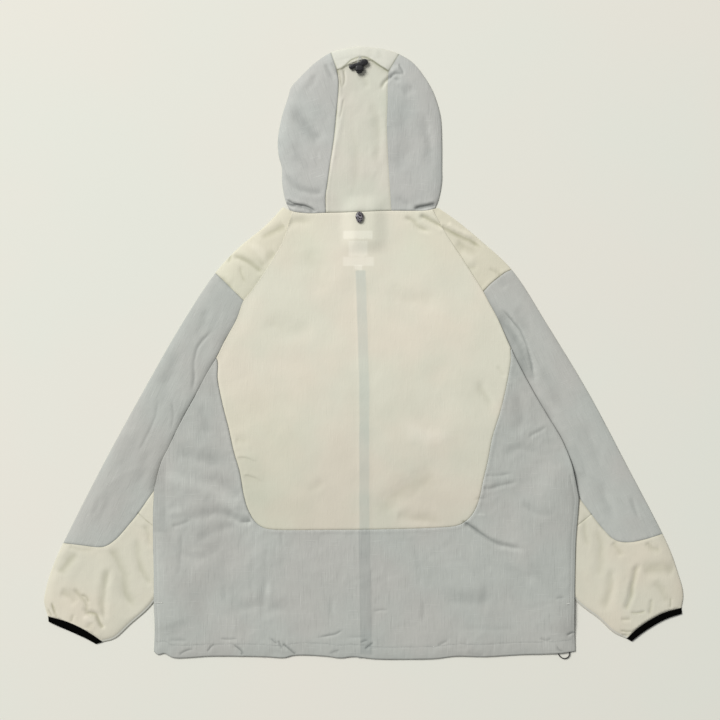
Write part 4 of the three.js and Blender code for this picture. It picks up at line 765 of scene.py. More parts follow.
tape_material = plain("zip_tape_weave", srgb(150, 153, 149), 0.85, ribs=(0, 1400, 0.00008))
chain_material = plain("zip_chain_nylon", srgb(140, 143, 140), 0.5, scale=700)
metal_material = plain("zip_metal_plated", srgb(150, 152, 155), 0.34, spread=0.06, scale=500, bump=0.00002, metal=1.0)
label_material = plain("blank_label_satin", srgb(236, 234, 224), 0.6, ribs=(0, 2200, 0.00003))
binding_material = plain("black_binding_rib", srgb(5, 5, 4), 0.95, spread=0.25, bump=0.00006, specular=0.04, ribs=(0, 900, 0.00009))
plastic_material = plain("black_plastic_moulded", srgb(24, 24, 26), 0.42, spread=0.2, scale=1600, bump=0.00002, specular=0.5)
lock_material = plain("speckled_plastic", srgb(34, 29, 33), 0.36, spread=0.2, scale=1600, bump=0.00002, specular=0.5, speckle=srgb(150, 146, 152))
cord_material = plain("black_cord_braid", srgb(24, 24, 24), 0.8, spread=0.3, scale=2400, bump=0.00008, specular=0.25)
thread_ivory = plain("thread_ivory", srgb(210, 206, 190), 0.6, spread=0.08, scale=3000, bump=0.00002)
thread_grey = plain("thread_grey", srgb(176, 178, 175), 0.6, spread=0.08, scale=3000, bump=0.00002)
thread_pale = plain("thread_pale", srgb(214, 214, 208), 0.6, spread=0.08, scale=3000, bump=0.00002)
hem_cord.data.materials.append(cord_material)

# ---------------------------------------------------------------- heights, as in the solid part
edge_by_y = BODY_EDGE[np.argsort(BODY_EDGE[:, 0])]
LEFT_EDGE = spline(BODY_EDGE[:, [0, 1]][:, ::-1], 2.0)
RIGHT_EDGE = spline(BODY_EDGE[:, [0, 2]][:, ::-1], 2.0)
NECK_LINE = spline(NECK, 2.0)
HEM_LINE = spline(HEM, 2.0)
YOKE_LINE = spline(YOKE, 2.0)
left_y, right_y = LEFT_EDGE[::-1], RIGHT_EDGE[::-1]


def left_x(y):
    return np.interp(y, left_y[:, 1], left_y[:, 0])


def right_x(y):
    return np.interp(y, right_y[:, 1], right_y[:, 0])


def neck_y(x):
    return np.interp(x, NECK_LINE[:, 0], NECK_LINE[:, 1])


def hem_y(x):
    return np.interp(x, HEM_LINE[:, 0], HEM_LINE[:, 1])


HIDDEN = []
for s in SLEEVES.values():
    edge = [(r[2], r[3]) for r in s["rows"][s["armhole"] - 1 : s["armhole"] + 3]]
    last = edge[-1]
    HIDDEN.append([*edge, (last[0] + s["side"] * 4, last[1] - 4), (edge[0][0] + s["side"] * 4, edge[0][1])])


def near_hidden(x, y):
    """Distance from the part of either sleeve that lies under the body's side."""
    best = np.full(len(x), 1e9)
    for ring in HIDDEN:
        closed = np.array([*ring, ring[0]], float)
        d, _, _, _ = to_line(x, y, closed)
        best = np.minimum(best, np.where(inside(x, y, ring), 0, d))
    return best


def rise(d, over=EDGE_ROUND):
    return 1 - np.exp(-np.maximum(0, d) / over)


def underside(x, y):
    over = (1 - smooth(38, 90, near_hidden(x, y))) * smooth(-480, -436, y)
    slider = SLIDER_LIFT * smooth(42, 12, np.abs(x)) * smooth(50, 24, np.abs(y - 212))
    return np.maximum(slider, (UNDER_BODY + GAP) * over)


def soft_floor(z, lowest, k=0.4):
    """z, bent so that it never falls under lowest."""
    t = (z - lowest) / k
    return lowest + k * np.where(t > 20, t, np.log1p(np.exp(np.clip(t, -50, 20))))


def rounded_drop(d, radius):
    """How far a rolled edge falls at distance d from it, as a share."""
    t = 1 - np.clip(d / radius, 0, 1)
    return 1 - np.sqrt(np.maximum(0, 1 - t * t))


# ---------------------------------------------------------------- folds and seams
FOLD_SCALE = {"step": 1.0, "trough": 1.2, "ridge": 1.15, "back": 0.85, "left": 0.68, "right": 0.72, "hood": 0.75}


SHADE_SCALE = {"back": 1.5, "left": 1.45, "right": 1.35, "hood": 1.35}


def creases(x, y, where, shade=False):
    """Height of the folds at each point; or, with shade, the painted shade that darkens the folds and the low side of
    each step, and (as negative shade) the painted highlight on crests.
    """
    dz = np.zeros(len(x))
    for number, (region, kind, width, depth, fade_in, fade_out, points) in enumerate(CREASES):
        if region != where:
            continue
        line = spline(points, 3.0)
        reach = width * (4.5 if kind == "step" else 3.2)
        m = (
            (x > line[:, 0].min() - reach) & (x < line[:, 0].max() + reach)
            & (y > line[:, 1].min() - reach) & (y < line[:, 1].max() + reach)
        )
        if not m.any():
            continue
        px, py = x[m], y[m]
        wob = 0.5 + 0.22 * width
        wx = px + wob * (noise(px, py, 19, 40 + number) + 0.5 * noise(px, py, 8, 140 + number))
        wy = py + wob * (noise(px, py, 19, 90 + number) + 0.5 * noise(px, py, 8, 190 + number))
        d, side, _, share = to_line(wx, wy, line)
        envelope = smooth(0, max(fade_in, 1e-3), share) * smooth(0, max(fade_out, 1e-3), 1 - share)
        varied = 1 + 0.5 * noise(px, py, 24, 7 + number)
        s = d * side
        turned = -1 if number % 3 == 0 else 1
        # painted shade in the furrows and below the steps, painted highlight on the crests
        if shade:
            dark = SHADE_SCALE[where] * depth * (0.058 + 0.17 * math.exp(-((width / 2.3) ** 2)))
            if kind == "step":
                f = smooth(1.4, -0.6, s) * np.exp(-np.maximum(-s, 0) / (0.6 * width))
            elif kind == "trough":
                f = np.exp(-((s / (np.where(s * turned < 0, 0.45, 1.05) * width)) ** 2))
            else:
                f = -1.0 * np.exp(-((s / width) ** 2))
            dz[m] += dark * f * envelope * np.clip(varied, 0.3, 1.6)
            continue
        if kind == "step":
            up = smooth(-1.5, 1.5, s)
            f = up * np.exp(-np.maximum(s, 0) / width) - 0.5 * (1 - up) * np.exp(-np.maximum(-s, 0) / (0.7 * width))
        elif kind == "trough":
            f = -np.exp(-((s / width) ** 2)) + 0.14 * np.exp(-(((np.abs(s) - 1.7 * width) / (0.9 * width)) ** 2))
        else:
            f = np.exp(-((s / width) ** 2))
        dz[m] += depth * FOLD_SCALE[kind] * FOLD_SCALE[where] * f * envelope * varied
    return dz


def line_shade(x, y, line, dark, width, wave=14.0, uneven=0.6, seed=300):
    """Painted shade along a thin line at a seam or edge, uneven along its run; where it is added instead, a painted
    highlight.
    """
    d, _, run, _ = to_line(x, y, line, 6 * width + 2)
    vary = np.clip(1 + 2.2 * uneven * noise(np.where(d < 90, run, 0), 0 * run, wave, seed), 0, 1.8)
    return dark * vary * np.exp(-((np.minimum(d, 1e3) / width) ** 2))


def facet_shade(x, y, scale, seed, turn=0.0, stretch=1.6):
    """Areas with soft borders, +-1: painted light and shade of broad soft facets in the thin cloth."""
    a = math.radians(turn)
    u, v = x * math.cos(a) + y * math.sin(a), y * math.cos(a) - x * math.sin(a)
    u = u + 0.3 * scale * noise(u, v, scale * 0.8, seed + 3)
    return np.tanh(6.0 * noise(u, v, scale, seed, scale * stretch)) * (0.4 + 0.9 * np.abs(noise(x, y, scale * 2.2, seed + 1)))


GREEN_SHADE = np.array([1.0, 0.97, 1.18])
GREY_SHADE = np.array([1.0, 0.97, 0.96])


def seam(x, y, line, dip, dip_width, allow=0.0, allow_width=6.0, pucker=0.0, wave=9.0, reach=8.0, seed=1, both=1.0):
    """A seam's groove, the raised allowance on its right (allow > 0) or left (allow < 0), and its puckers."""
    far = max(allow_width, reach) * 2.6 + 4
    d, side, run, share = to_line(x, y, line, far)
    m = d < far
    dz = np.zeros(len(x))
    if not m.any():
        return dz
    d, side, run = d[m], side[m], run[m]
    dz_m = -dip * np.exp(-((d / dip_width) ** 2))
    if allow:
        on = (side < 0) if allow > 0 else (side > 0)
        lump = smooth(0, 1.4, d) * smooth(allow_width + 1.2, allow_width - 0.6, d)
        dz_m = dz_m + abs(allow) * np.where(on, lump, 0)
    if pucker:
        slant = 0.35 * noise(run, 0 * run, 40, seed + 5)
        n = noise(run + slant * d * side, d * 0.45, wave, seed) + 0.5 * noise(run - slant * d, d * 0.5, wave * 0.55, seed + 1)
        calm = 0.55 + 0.9 * np.clip(noise(run, 0 * run, 60, seed + 2) + 0.25, 0, 1)
        weight = np.where(side > 0, both, 1.0)
        dz_m = dz_m + pucker * 1.6 * n * calm * weight * smooth(0, 2.0, d) * np.exp(-d / reach)
    dz[m] = dz_m
    return dz


def crinkle(x, y, scale, seed, turn=0.0, stretch=1.5):
    """Flat facets that meet in sharp wandering crests, as in crisp thin nylon; calm in places."""
    a = math.radians(turn)
    u, v = x * math.cos(a) + y * math.sin(a), y * math.cos(a) - x * math.sin(a)
    wu = u + 0.45 * scale * noise(u, v, scale * 1.4, seed + 7)
    wv = v + 0.45 * scale * noise(u, v, scale * 1.4, seed + 8)
    big = np.clip(1 - 2.8 * np.abs(noise(wu, wv, scale, seed, scale * stretch)), 0, 1)
    low = np.clip(1 - 2.8 * np.abs(noise(wu, wv, scale * 1.3, seed + 1, scale * 1.3 * stretch)), 0, 1)
    fine = np.clip(1 - 2.8 * np.abs(noise(wv, wu, scale * 0.5, seed + 2, scale * 0.4 * stretch)), 0, 1)
    patch = 0.35 + 0.65 * smooth(-0.2, 0.3, noise(x, y, scale * 3.4, seed + 9))
    return (big - 0.8 * low + 0.35 * fine) * patch


def groove(x, y, line, depth, width):
    d, _, _, share = to_line(x, y, np.asarray(line, float), 5 * width + 2)
    ends = smooth(-1e-6, 0.02, share) * smooth(-1e-6, 0.02, 1 - share)
    return -depth * np.exp(-((np.minimum(d, 1e3) / width) ** 2)) * np.maximum(ends, 0.25)


# ---------------------------------------------------------------- meshes
def make_object(name, co, faces, sharp=66):
    """A mesh object from points in millimetres and triangles."""
    mesh = bpy.data.meshes.new(name)
    co, faces = np.asarray(co, float) * MM, np.asarray(faces, np.int32)
    mesh.vertices.add(len(co))
    mesh.vertices.foreach_set("co", co.ravel())
    mesh.loops.add(3 * len(faces))
    mesh.loops.foreach_set("vertex_index", faces.ravel())
    mesh.polygons.add(len(faces))
    mesh.polygons.foreach_set("loop_start", np.arange(0, 3 * len(faces), 3, dtype=np.int32))
    mesh.update(calc_edges=True)
    mesh.validate()
    mesh.polygons.foreach_set("use_smooth", np.ones(len(mesh.polygons), bool))
    if sharp:
        mesh.set_sharp_from_angle(angle=math.radians(sharp))
    mesh.update()
    made = bpy.data.objects.new(name, mesh)
    scene.collection.objects.link(made)
    return made


def set_tone(obj, tone):
    attribute = obj.data.attributes.new("tone", "FLOAT_COLOR", "POINT")
    colour = np.ones((len(obj.data.vertices), 4))
    colour[:, :3] = tone
    attribute.data.foreach_set("color", colour.ravel())


def boundary(tri):
    """Directed boundary edges of a triangle list."""
    e = np.vstack([tri[:, [0, 1]], tri[:, [1, 2]], tri[:, [2, 0]]]).astype(np.int64)
    big = int(e.max()) + 1
    key, back = e[:, 0] * big + e[:, 1], e[:, 1] * big + e[:, 0]
    return e[~np.isin(key, back)]


def compact(points, tri):
    used = np.unique(tri)
    new = np.full(len(points), -1, np.int64)
    new[used] = np.arange(len(used))
    return points[used], new[tri]


def inset_edges(points, tri, amount):
    """Moves the boundary points in by amount, so neighbours keep a hairline apart."""
    e = boundary(tri)
    n = np.zeros_like(points)
    d = points[e[:, 1]] - points[e[:, 0]]
    inward = np.c_[-d[:, 1], d[:, 0]]
    inward /= np.maximum(np.hypot(inward[:, 0], inward[:, 1]), 1e-9)[:, None]
    np.add.at(n, e[:, 0], inward)
    np.add.at(n, e[:, 1], inward)
    size = np.hypot(n[:, 0], n[:, 1])
    m = size > 1e-6
    out = points.copy()
    out[m] += n[m] / size[m][:, None] * amount
    return out


def sheet_shell(points, tri, top, bottom):
    """A closed thin wall between two height lists over one triangulation."""
    n = len(points)
    co = np.vstack([np.c_[points, top], np.c_[points, bottom]])
    e = boundary(tri)
    walls = np.vstack([np.c_[e[:, 0], e[:, 0] + n, e[:, 1] + n], np.c_[e[:, 0], e[:, 1] + n, e[:, 1]]])
    return co, np.vstack([tri, tri[:, ::-1] + n, walls])


def key_of(points):
    return [(round(float(a) * 2000), round(float(b) * 2000)) for a, b in np.asarray(points, np.float32)]


def wrapped_shell(top_set, low_set, fold_keys, cloth, middle):
    """Two layers joined round their folded edges, each a thin wall: outer top, inner top, inner low, outer low.
    top_set and low_set are (points, triangles, heights)."""
    pt, tt, zt = top_set
    pl, tl, zl = low_set
    nt, nl = len(pt), len(pl)
    kt, kl = key_of(pt), key_of(pl)
    low_at = {k: i for i, k in enumerate(kl)}
    et, el = boundary(tt), boundary(tl)

    def is_fold(edges, keys):
        return np.array([keys[a] in fold_keys and keys[b] in fold_keys for a, b in edges], bool)

    ft, fl = is_fold(et, kt), is_fold(el, kl)
    shrink = 0.32

    def inner(points, tri, edges, fold):
        n = np.zeros_like(points)
        d = points[edges[fold][:, 1]] - points[edges[fold][:, 0]]
        inward = np.c_[-d[:, 1], d[:, 0]]
        inward /= np.maximum(np.hypot(inward[:, 0], inward[:, 1]), 1e-9)[:, None]
        np.add.at(n, edges[fold][:, 0], inward)
        np.add.at(n, edges[fold][:, 1], inward)
        size = np.hypot(n[:, 0], n[:, 1])
        m = size > 1e-6
        out = points.copy()
        out[m] += n[m] / size[m][:, None] * shrink
        return out

    inner_t, inner_l = inner(pt, tt, et, ft), inner(pl, tl, el, fl)
    zti = np.maximum(zt - cloth, middle(inner_t[:, 0], inner_t[:, 1]) + 0.03)
    zli = np.minimum(zl + cloth, middle(inner_l[:, 0], inner_l[:, 1]) - 0.03)
    co = np.vstack([np.c_[pt, zt], np.c_[inner_t, zti], np.c_[inner_l, zli], np.c_[pl, zl]])
    a, b, c, d = 0, nt, 2 * nt, 2 * nt + nl  # where each layer's points start
    faces = [tt + a, tt[:, ::-1] + b, tl + c, tl[:, ::-1] + d]

    def quads(p, q, r, s):
        faces.append(np.c_[p, q, r])
        faces.append(np.c_[p, r, s])

    for edges, fold, one, two, up in ((et, ft, a, b, True), (el, fl, d, c, False)):
        e = edges[~fold]
        if len(e):
            if up:
                quads(e[:, 0] + one, e[:, 0] + two, e[:, 1] + two, e[:, 1] + one)
            else:
                quads(e[:, 0] + one, e[:, 1] + one, e[:, 1] + two, e[:, 0] + two)
    e = et[ft]
    lo = np.array([[low_at[kt[p]], low_at[kt[q]]] for p, q in e])
    quads(e[:, 0] + a, lo[:, 0] + d, lo[:, 1] + d, e[:, 1] + a)
    quads(e[:, 1] + b, lo[:, 1] + c, lo[:, 0] + c, e[:, 0] + b)
    return co, np.vstack(faces)


def arrange(outline, cuts, extra):
    """Triangulates the inside of outline, split by cuts, and numbers the pieces that the cuts leave."""
    points = np.vstack([outline, *cuts, extra])
    edges, k = [], len(outline)
    for c in cuts:
        edges += [(k + i, k + i + 1) for i in range(len(c) - 1)]
        k += len(c)
    got = delaunay_2d_cdt([Vector(p) for p in points.tolist()], edges, [list(range(len(outline)))], 1, 1e-4)
    v = np.array([tuple(p) for p in got[0]])
    t = np.array(got[2], np.int64)
    area = (v[t[:, 1], 0] - v[t[:, 0], 0]) * (v[t[:, 2], 1] - v[t[:, 0], 1]) - (
        v[t[:, 2], 0] - v[t[:, 0], 0]) * (v[t[:, 1], 1] - v[t[:, 0], 1])
    t[area < 0] = t[area < 0][:, ::-1]
    fixed = {tuple(sorted(e)) for e, o in zip(got[1], got[4]) if len(o)}
    owner, neighbours = {}, [[] for _ in range(len(t))]
    for i, (a, b, c) in enumerate(t.tolist()):
        for e in ((a, b), (b, c), (c, a)):
            e = (e[0], e[1]) if e[0] < e[1] else (e[1], e[0])
            if e in fixed:
                continue
            if e in owner:
                neighbours[i].append(owner[e])
                neighbours[owner[e]].append(i)
            else:
                owner[e] = i
    label = [-1] * len(t)
    count = 0
    for i in range(len(t)):
        if label[i] >= 0:
            continue
        stack = [i]
        label[i] = count
        while stack:
            j = stack.pop()
            for k in neighbours[j]:
                if label[k] < 0:
                    label[k] = count
                    stack.append(k)
        count += 1
    return v, t, np.array(label)


def piece_at(v, t, label, probe):
    """The piece of an arrangement that holds a point."""
    a, b, c = v[t[:, 0]], v[t[:, 1]], v[t[:, 2]]
    p = np.array(probe, float)

    def cross(u, w):
        return (w[:, 0] - u[:, 0]) * (p[1] - u[:, 1]) - (w[:, 1] - u[:, 1]) * (p[0] - u[:, 0])

    hit = np.where((cross(a, b) >= -1e-9) & (cross(b, c) >= -1e-9) & (cross(c, a) >= -1e-9))[0]
    return compact(v, t[label == label[hit[0]]])


def lattice(box, step, ring):
    x0, x1, y0, y1 = box
    rows = int((y1 - y0) / (step * 0.866)) + 1
    cols = int((x1 - x0) / step) + 2
    j, i = np.mgrid[0:rows, 0:cols]
    x, y = x0 + i * step + (j % 2) * step * 0.5, y0 + j * step * 0.866
    x, y = x.ravel(), y.ravel()
    m = inside(x, y, ring)
    return np.c_[x[m], y[m]]


def beside(line, offsets, step):
    """Points along a line, set off to its sides."""
    p = resample(line, step)
    d = np.gradient(p, axis=0)
    n = np.c_[-d[:, 1], d[:, 0]] / np.maximum(np.hypot(d[:, 0], d[:, 1]), 1e-9)[:, None]
    return np.vstack([p + n * o for o in offsets])


def sow(fixed, groups, ring):
    """Adds groups of (points, least distance) one after the other, leaving out points too near earlier ones."""
    kept = [np.asarray(fixed, float)]
    for points, least in groups:
        if not len(points):
            continue
        points = points[inside(points[:, 0], points[:, 1], ring)]
        cell = {}
        for p in np.vstack(kept).tolist():
            cell.setdefault((int(p[0] // least), int(p[1] // least)), []).append(p)
        took = []
        l2 = least * least
        for p in points.tolist():
            cx, cy = int(p[0] // least), int(p[1] // least)
            good = True
            for gx in (cx - 1, cx, cx + 1):
                for gy in (cy - 1, cy, cy + 1):
                    for q in cell.get((gx, gy), ()):
                        if (q[0] - p[0]) ** 2 + (q[1] - p[1]) ** 2 < l2:
                            good = False
                            break
                    if not good:
                        break
                if not good:
                    break
            if good:
                took.append(p)
                cell.setdefault((cx, cy), []).append(p)
        if took:
            kept.append(np.array(took))
    return np.vstack(kept[1:]) if len(kept) > 1 else np.zeros((0, 2))


def crease_points(where):
    out = []
    for region, kind, width, depth, _, _, points in CREASES:
        if region != where:
            continue
        line = spline(points, 3.0)
        if kind == "step":
            out.append(beside(line, (-2.4, -1.1, -0.4, 0.4, 1.1, 2.4), 2.0))
        elif width < 4.5:
            out.append(beside(line, (-0.8 * width, -0.4 * width, 0, 0.4 * width, 0.8 * width), 2.0))
    return np.vstack(out) if out else np.zeros((0, 2))


def with_points(line, points):
    """line with extra points put in where they fall on it."""
    line = np.asarray(line, float)
    for p in points:
        d, _, run, _ = to_line(np.array([p[0]]), np.array([p[1]]), line if len(line) <= 40 else line)
        cum = np.r_[0, np.cumsum(np.hypot(*np.diff(line, axis=0).T))]
        k = int(np.searchsorted(cum, run[0]))
        k = min(max(k, 1), len(line) - 1)
        for j in (k - 1, k):
            if np.hypot(*(line[j] - p)) < 0.7 and 0 < j < len(line) - 1:
                line[j] = p
                break
        else:
            line = np.insert(line, k, p, axis=0)
    return line


def box_of(points):
    """Width and length of the smallest turned box round the points."""
    best = None
    for k in range(90):
        a = math.pi * k / 180
        u = points[:, 0] * math.cos(a) + points[:, 1] * math.sin(a)
        v = points[:, 1] * math.cos(a) - points[:, 0] * math.sin(a)
        w, h = np.ptp(u), np.ptp(v)
        if best is None or w * h < best[0] * best[1]:
            best = (w, h)
    return min(best), max(best)


def area_of(points, tri):
    a, b, c = points[tri[:, 0]], points[tri[:, 1]], points[tri[:, 2]]
    return float(np.abs((b[:, 0] - a[:, 0]) * (c[:, 1] - a[:, 1]) - (b[:, 1] - a[:, 1]) * (c[:, 0] - a[:, 0])).sum() / 2)

# ---------------------------------------------------------------- body: lines
hem_cut = cut_to(cut_from(HEM_LINE, LEFT_EDGE), RIGHT_EDGE)
right_cut = cut_to(cut_from(RIGHT_EDGE[::-1], HEM_LINE), NECK_LINE)
neck_cut = cut_to(cut_from(NECK_LINE[::-1], RIGHT_EDGE), LEFT_EDGE)
left_cut = cut_to(cut_from(LEFT_EDGE, NECK_LINE), HEM_LINE)
yoke_cut = cut_to(cut_from(YOKE_LINE, LEFT_EDGE), RIGHT_EDGE)
YOKE_LEFT, YOKE_RIGHT = yoke_cut[0], yoke_cut[-1]


def body_outline(step):
    parts = [resample(hem_cut, step), resample(right_cut, step), resample(neck_cut, step), resample(left_cut, step)]
    parts[1] = with_points(parts[1], [YOKE_RIGHT])
    parts[3] = with_points(parts[3], [YOKE_LEFT])
    return np.vstack([p[:-1] for p in parts])


def casing_line(x):
    """The row of stitches along the top of the hem casing."""
    return hem_y(x) + 20.5 + 0.9 * noise(x, 0 * x, 90, 3) * 2


HEM_CASING = np.array([(x, float(casing_line(np.array([x]))[0])) for x in np.arange(-343, 344, 3.0)])
SIDE_SEAM_RIGHT = np.array([(right_x(y) - 7.5, y) for y in np.arange(-412, -196, 3.0)])
SIDE_SEAM_RIGHT_2 = np.array([(right_x(y) - 2.6, y) for y in np.arange(-484, -196, 3.0)])
SIDE_SEAM_LEFT = np.array([(left_x(y) + 5.0, y) for y in np.arange(-484, -300, 3.0)])


def body_top(x, y, detail=True):
    """The outer surface of the back."""
    under = underside(x, y)
    d_side = np.minimum(x - left_x(y), right_x(y) - x)
    on_side = smooth(-190, -232, y)
    hem = rise(y - hem_y(x), 12.0)
    full = np.full(len(x), STACK)
    if detail:
        calm = smooth(0, 26, d_side) * smooth(0, 30, y - hem_y(x))
        full = full + calm * (
            1.5 * noise(x, y, 150, 11) + 0.9 * noise(x, y, 74, 12) + 0.3 * noise(x, y, 36, 13, 28)
        )
    full = 2.4 + (full - 2.4) * hem
    full = full + 1.3 * np.exp(-(((x - 331) / 20) ** 2) - ((y + 490) / 14) ** 2)
    edge = on_side * (1 - rise(d_side, 9.0))
    full = full + (EDGE_THIN + 0.3 - full) * edge
    z = under + full
    if not detail:
        return z
    z = z + creases(x, y, "back") * smooth(0, 5, d_side)
    return z


def edge_distances(x, y):
    dl, _, rl, _ = to_line(x, y, left_cut, 60)
    dr, _, rr, _ = to_line(x, y, right_cut, 60)
    dh, _, _, _ = to_line(x, y, hem_cut, 60)
    dn, _, _, _ = to_line(x, y, neck_cut, 60)
    return dl, dr, dh, dn


def body_surface(x, y, upper):
    z = body_top(x, y)
    dl, dr, dh, dn = edge_distances(x, y)
    d = np.minimum(dl, dr)
    # the body's edge lies on the sleeve from the underarm up to the shoulder
    over = smooth(85, 10, y)
    z = z + np.where(dl < dr, 0.2, 0.4) * over * np.exp(-((d - 2.4) / 3.2) ** 2) * smooth(-300, -228, y)
    z = z - np.where(dl < dr, (0.25 + 0.2 * over) * (0.35 + 0.65 * smooth(200, 150, y)), (0.6 + 0.3 * over) * (0.25 + 0.75 * smooth(214, 182, y))) * rounded_drop(d, 1.4)
    z = z - 0.75 * rounded_drop(dh, 1.6) - 0.7 * np.exp(-((dn / 1.5) ** 2))
    # seams
    z = z + seam(x, y, yoke_cut, 0.85, 1.15, allow=0.42, allow_width=5.5, pucker=0.30, wave=8.5, reach=9, seed=21, both=0.55)
    z = z + seam(x, y, HEM_CASING, 0.18, 1.0, pucker=0.34, wave=8, reach=8, seed=31)
    z = z + seam(x, y, hem_cut, 0, 1, pucker=0.30, wave=10, reach=8, seed=33)
    z = z + seam(x, y, neck_cut, 0, 1, pucker=0.22, wave=11, reach=8, seed=35)
    z = z + seam(x, y, left_cut, 0, 1, pucker=0.20, wave=12, reach=9, seed=37)
    z = z + seam(x, y, right_cut, 0, 1, pucker=0.20, wave=12, reach=9, seed=39)
    z = z + groove(x, y, SIDE_SEAM_RIGHT, 0.4, 0.8) + groove(x, y, SIDE_SEAM_RIGHT_2, 0.35, 0.8)
    z = z + groove(x, y, SIDE_SEAM_LEFT, 0.4, 0.8)
    if upper:
        z = z + 0.16 * crinkle(x, y, 46, 51, 20, 1.2) * smooth(0, 24, d) * (0.5 + 0.5 * smooth(60, -60, y))
    else:
        fine = smooth(0, 14, d)
        z = z + fine * (0.36 * crinkle(x, y, 34, 61, 0, 0.8) + 0.06 * noise(x, y, 11, 62, 20))
    # over the zip the cloth stands a little
    z = z + 0.25 * smooth(13, 8, np.abs(x - zip_x(y))) * smooth(0, 30, y - hem_y(x)) * smooth(135, 110, y)
    return soft_floor(z, underside(x, y) + 1.0 + CLOTH + 0.12)


def zip_x(y):
    """Middle of the strip where the zip shows through the back."""
    return np.interp(y, [-505, -290, -60, 140], [3.6, 0.4, 0.6, -5.6])


def body_tone(x, y, upper):
    """Where the zip, the labels and the layers under the thin cloth show through it; the upper back darker towards the
    bottom; painted shade in the folds, along the seams, edges and hem, and painted highlight on crests.
    """
    tone = np.ones((len(x), 3))
    c = zip_x(y) + 0.8 * noise(x * 0, y, 60, 71)
    half = np.where(upper, 8.2, 9.0) + 0.9 * noise(x * 0, y, 45, 72)
    strip = smooth(half + 1.3, half - 1.3, np.abs(x - c)) * smooth(137.5, 134.5, y) * smooth(-499, -494, y)
    strip = strip * (0.92 + 0.5 * noise(x * 0, y, 50, 73))
    colour = np.array([0.845, 0.895, 0.93]) if upper else np.array([0.86, 0.873, 0.88])
    if upper:
        tone *= np.interp(y, [-290, -230, -95, 55], [0.865, 0.88, 0.955, 1.0])[:, None]
        green = np.maximum(smooth(110, 190, y) * smooth(40, 95, np.abs(x)), smooth(-40, -150, x) * smooth(-10, -120, y))
        tone *= 1 - green[:, None] * np.array([0.022, 0.002, 0.022])
    tone *= 1 - strip[:, None] * (1 - colour)
    if not upper:
        edge = -327.5 + 1.2 * noise(x * 0, y, 30, 75)
        side_band = smooth(edge + 1.5, edge - 0.6, x) * smooth(-175, -205, y) * smooth(-297, -293, y)
        tone *= 1 - 0.12 * side_band[:, None]
        rim = np.exp(-(((np.abs(x - c) - 8.6) / 1.0) ** 2)) * smooth(-499, -494, y)
        tone *= 1 - 0.07 * rim[:, None]
        blob = np.exp(-(((x - 11) / 4.5) ** 2) - ((y + 438) / 14) ** 2)
        tone *= 1 - 0.07 * blob[:, None]
    # painted shade in the folds and along the yoke seam, with painted facet shade
    calm = smooth(-150, -60, y) * smooth(200, 130, np.abs(x)) * smooth(185, 130, y)
    shade = creases(x, y, "back", shade=True) * (1 + 0.9 * smooth(-440, -458, y) - 0.65 * calm) + line_shade(x, y, yoke_cut, 0.10, 1.0, 9, 0.6, 301)
    if upper:
        shade = shade + 0.016 * facet_shade(x, y, 60, 331, 30, 1.5) * smooth(150, -40, y) + 0.006 * facet_shade(x, y, 26, 332, -20, 1.5) * smooth(0, -160, y)
    else:
        side = smooth(110, 230, np.abs(x))
        shade = shade + (0.014 + 0.016 * side) * facet_shade(x, y, 34, 333, 24, 1.8) + 0.012 * facet_shade(x, y, 13, 334, -30, 1.6)
        shade = shade + 0.028 * smooth(190, 290, x) * smooth(-380, -300, y)
    # painted shade along the edges that lie on the sleeves and along the hem
    shade = shade + line_shade(x, y, left_cut, 0.15, 1.3, 16, 0.7, 302) * smooth(170, 90, y)
    shade = shade + line_shade(x, y, right_cut, 0.12, 1.2, 16, 0.5, 303) * smooth(208, 182, y)
    if not upper:
        shade = shade + line_shade(x, y, hem_cut, 0.20, 1.3, 24, 0.5, 304)
        shade = shade + line_shade(x, y, HEM_CASING, 0.09, 0.9, 16, 1.3, 305)
    tone *= 1 - np.clip(shade, -0.09, 0.40)[:, None] * (GREEN_SHADE if upper else GREY_SHADE)
    if upper:
        for x0, x1, y0, y1 in [*LABELS.values(), (*LABEL_TAB[:2], *LABEL_TAB[2:])]:
            wave = 1.2 * noise(x, y * 0, 9, 74)
            inside_label = (
                smooth(x0 - 1.0, x0 + 1.0, x) * smooth(x1 + 1.0, x1 - 1.0, x)
                * smooth(y0 - 1.0 + wave, y0 + 1.0 + wave, y) * smooth(y1 + 1.0, y1 - 1.0, y)
            )
            tone *= 1 + inside_label[:, None] * np.array([0.105, 0.112, 0.135])
    return tone


def finish_piece(obj, node, material, tone=None, body="parka"):
    set_tone(obj, np.ones((len(obj.data.vertices), 3)) if tone is None else tone)
    obj.data.materials.append(material)
    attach(obj, body)
    if node:
        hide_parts(node)
    return obj


def flat_size(points):
    w, h = np.ptp(points[:, 0]), np.ptp(points[:, 1])
    return (float(w) * MM, float(h) * MM)


CUTS = {}


def declare_sheet(obj, points, tri, layers, size=None, shown=None):
    area = shown if shown is not None else layers * area_of(points, tri) * 1e-6
    w, h = size if size else flat_size(points)
    CUTS[obj.name] = (round(w, 4), round(h, 4), round(area, 5))


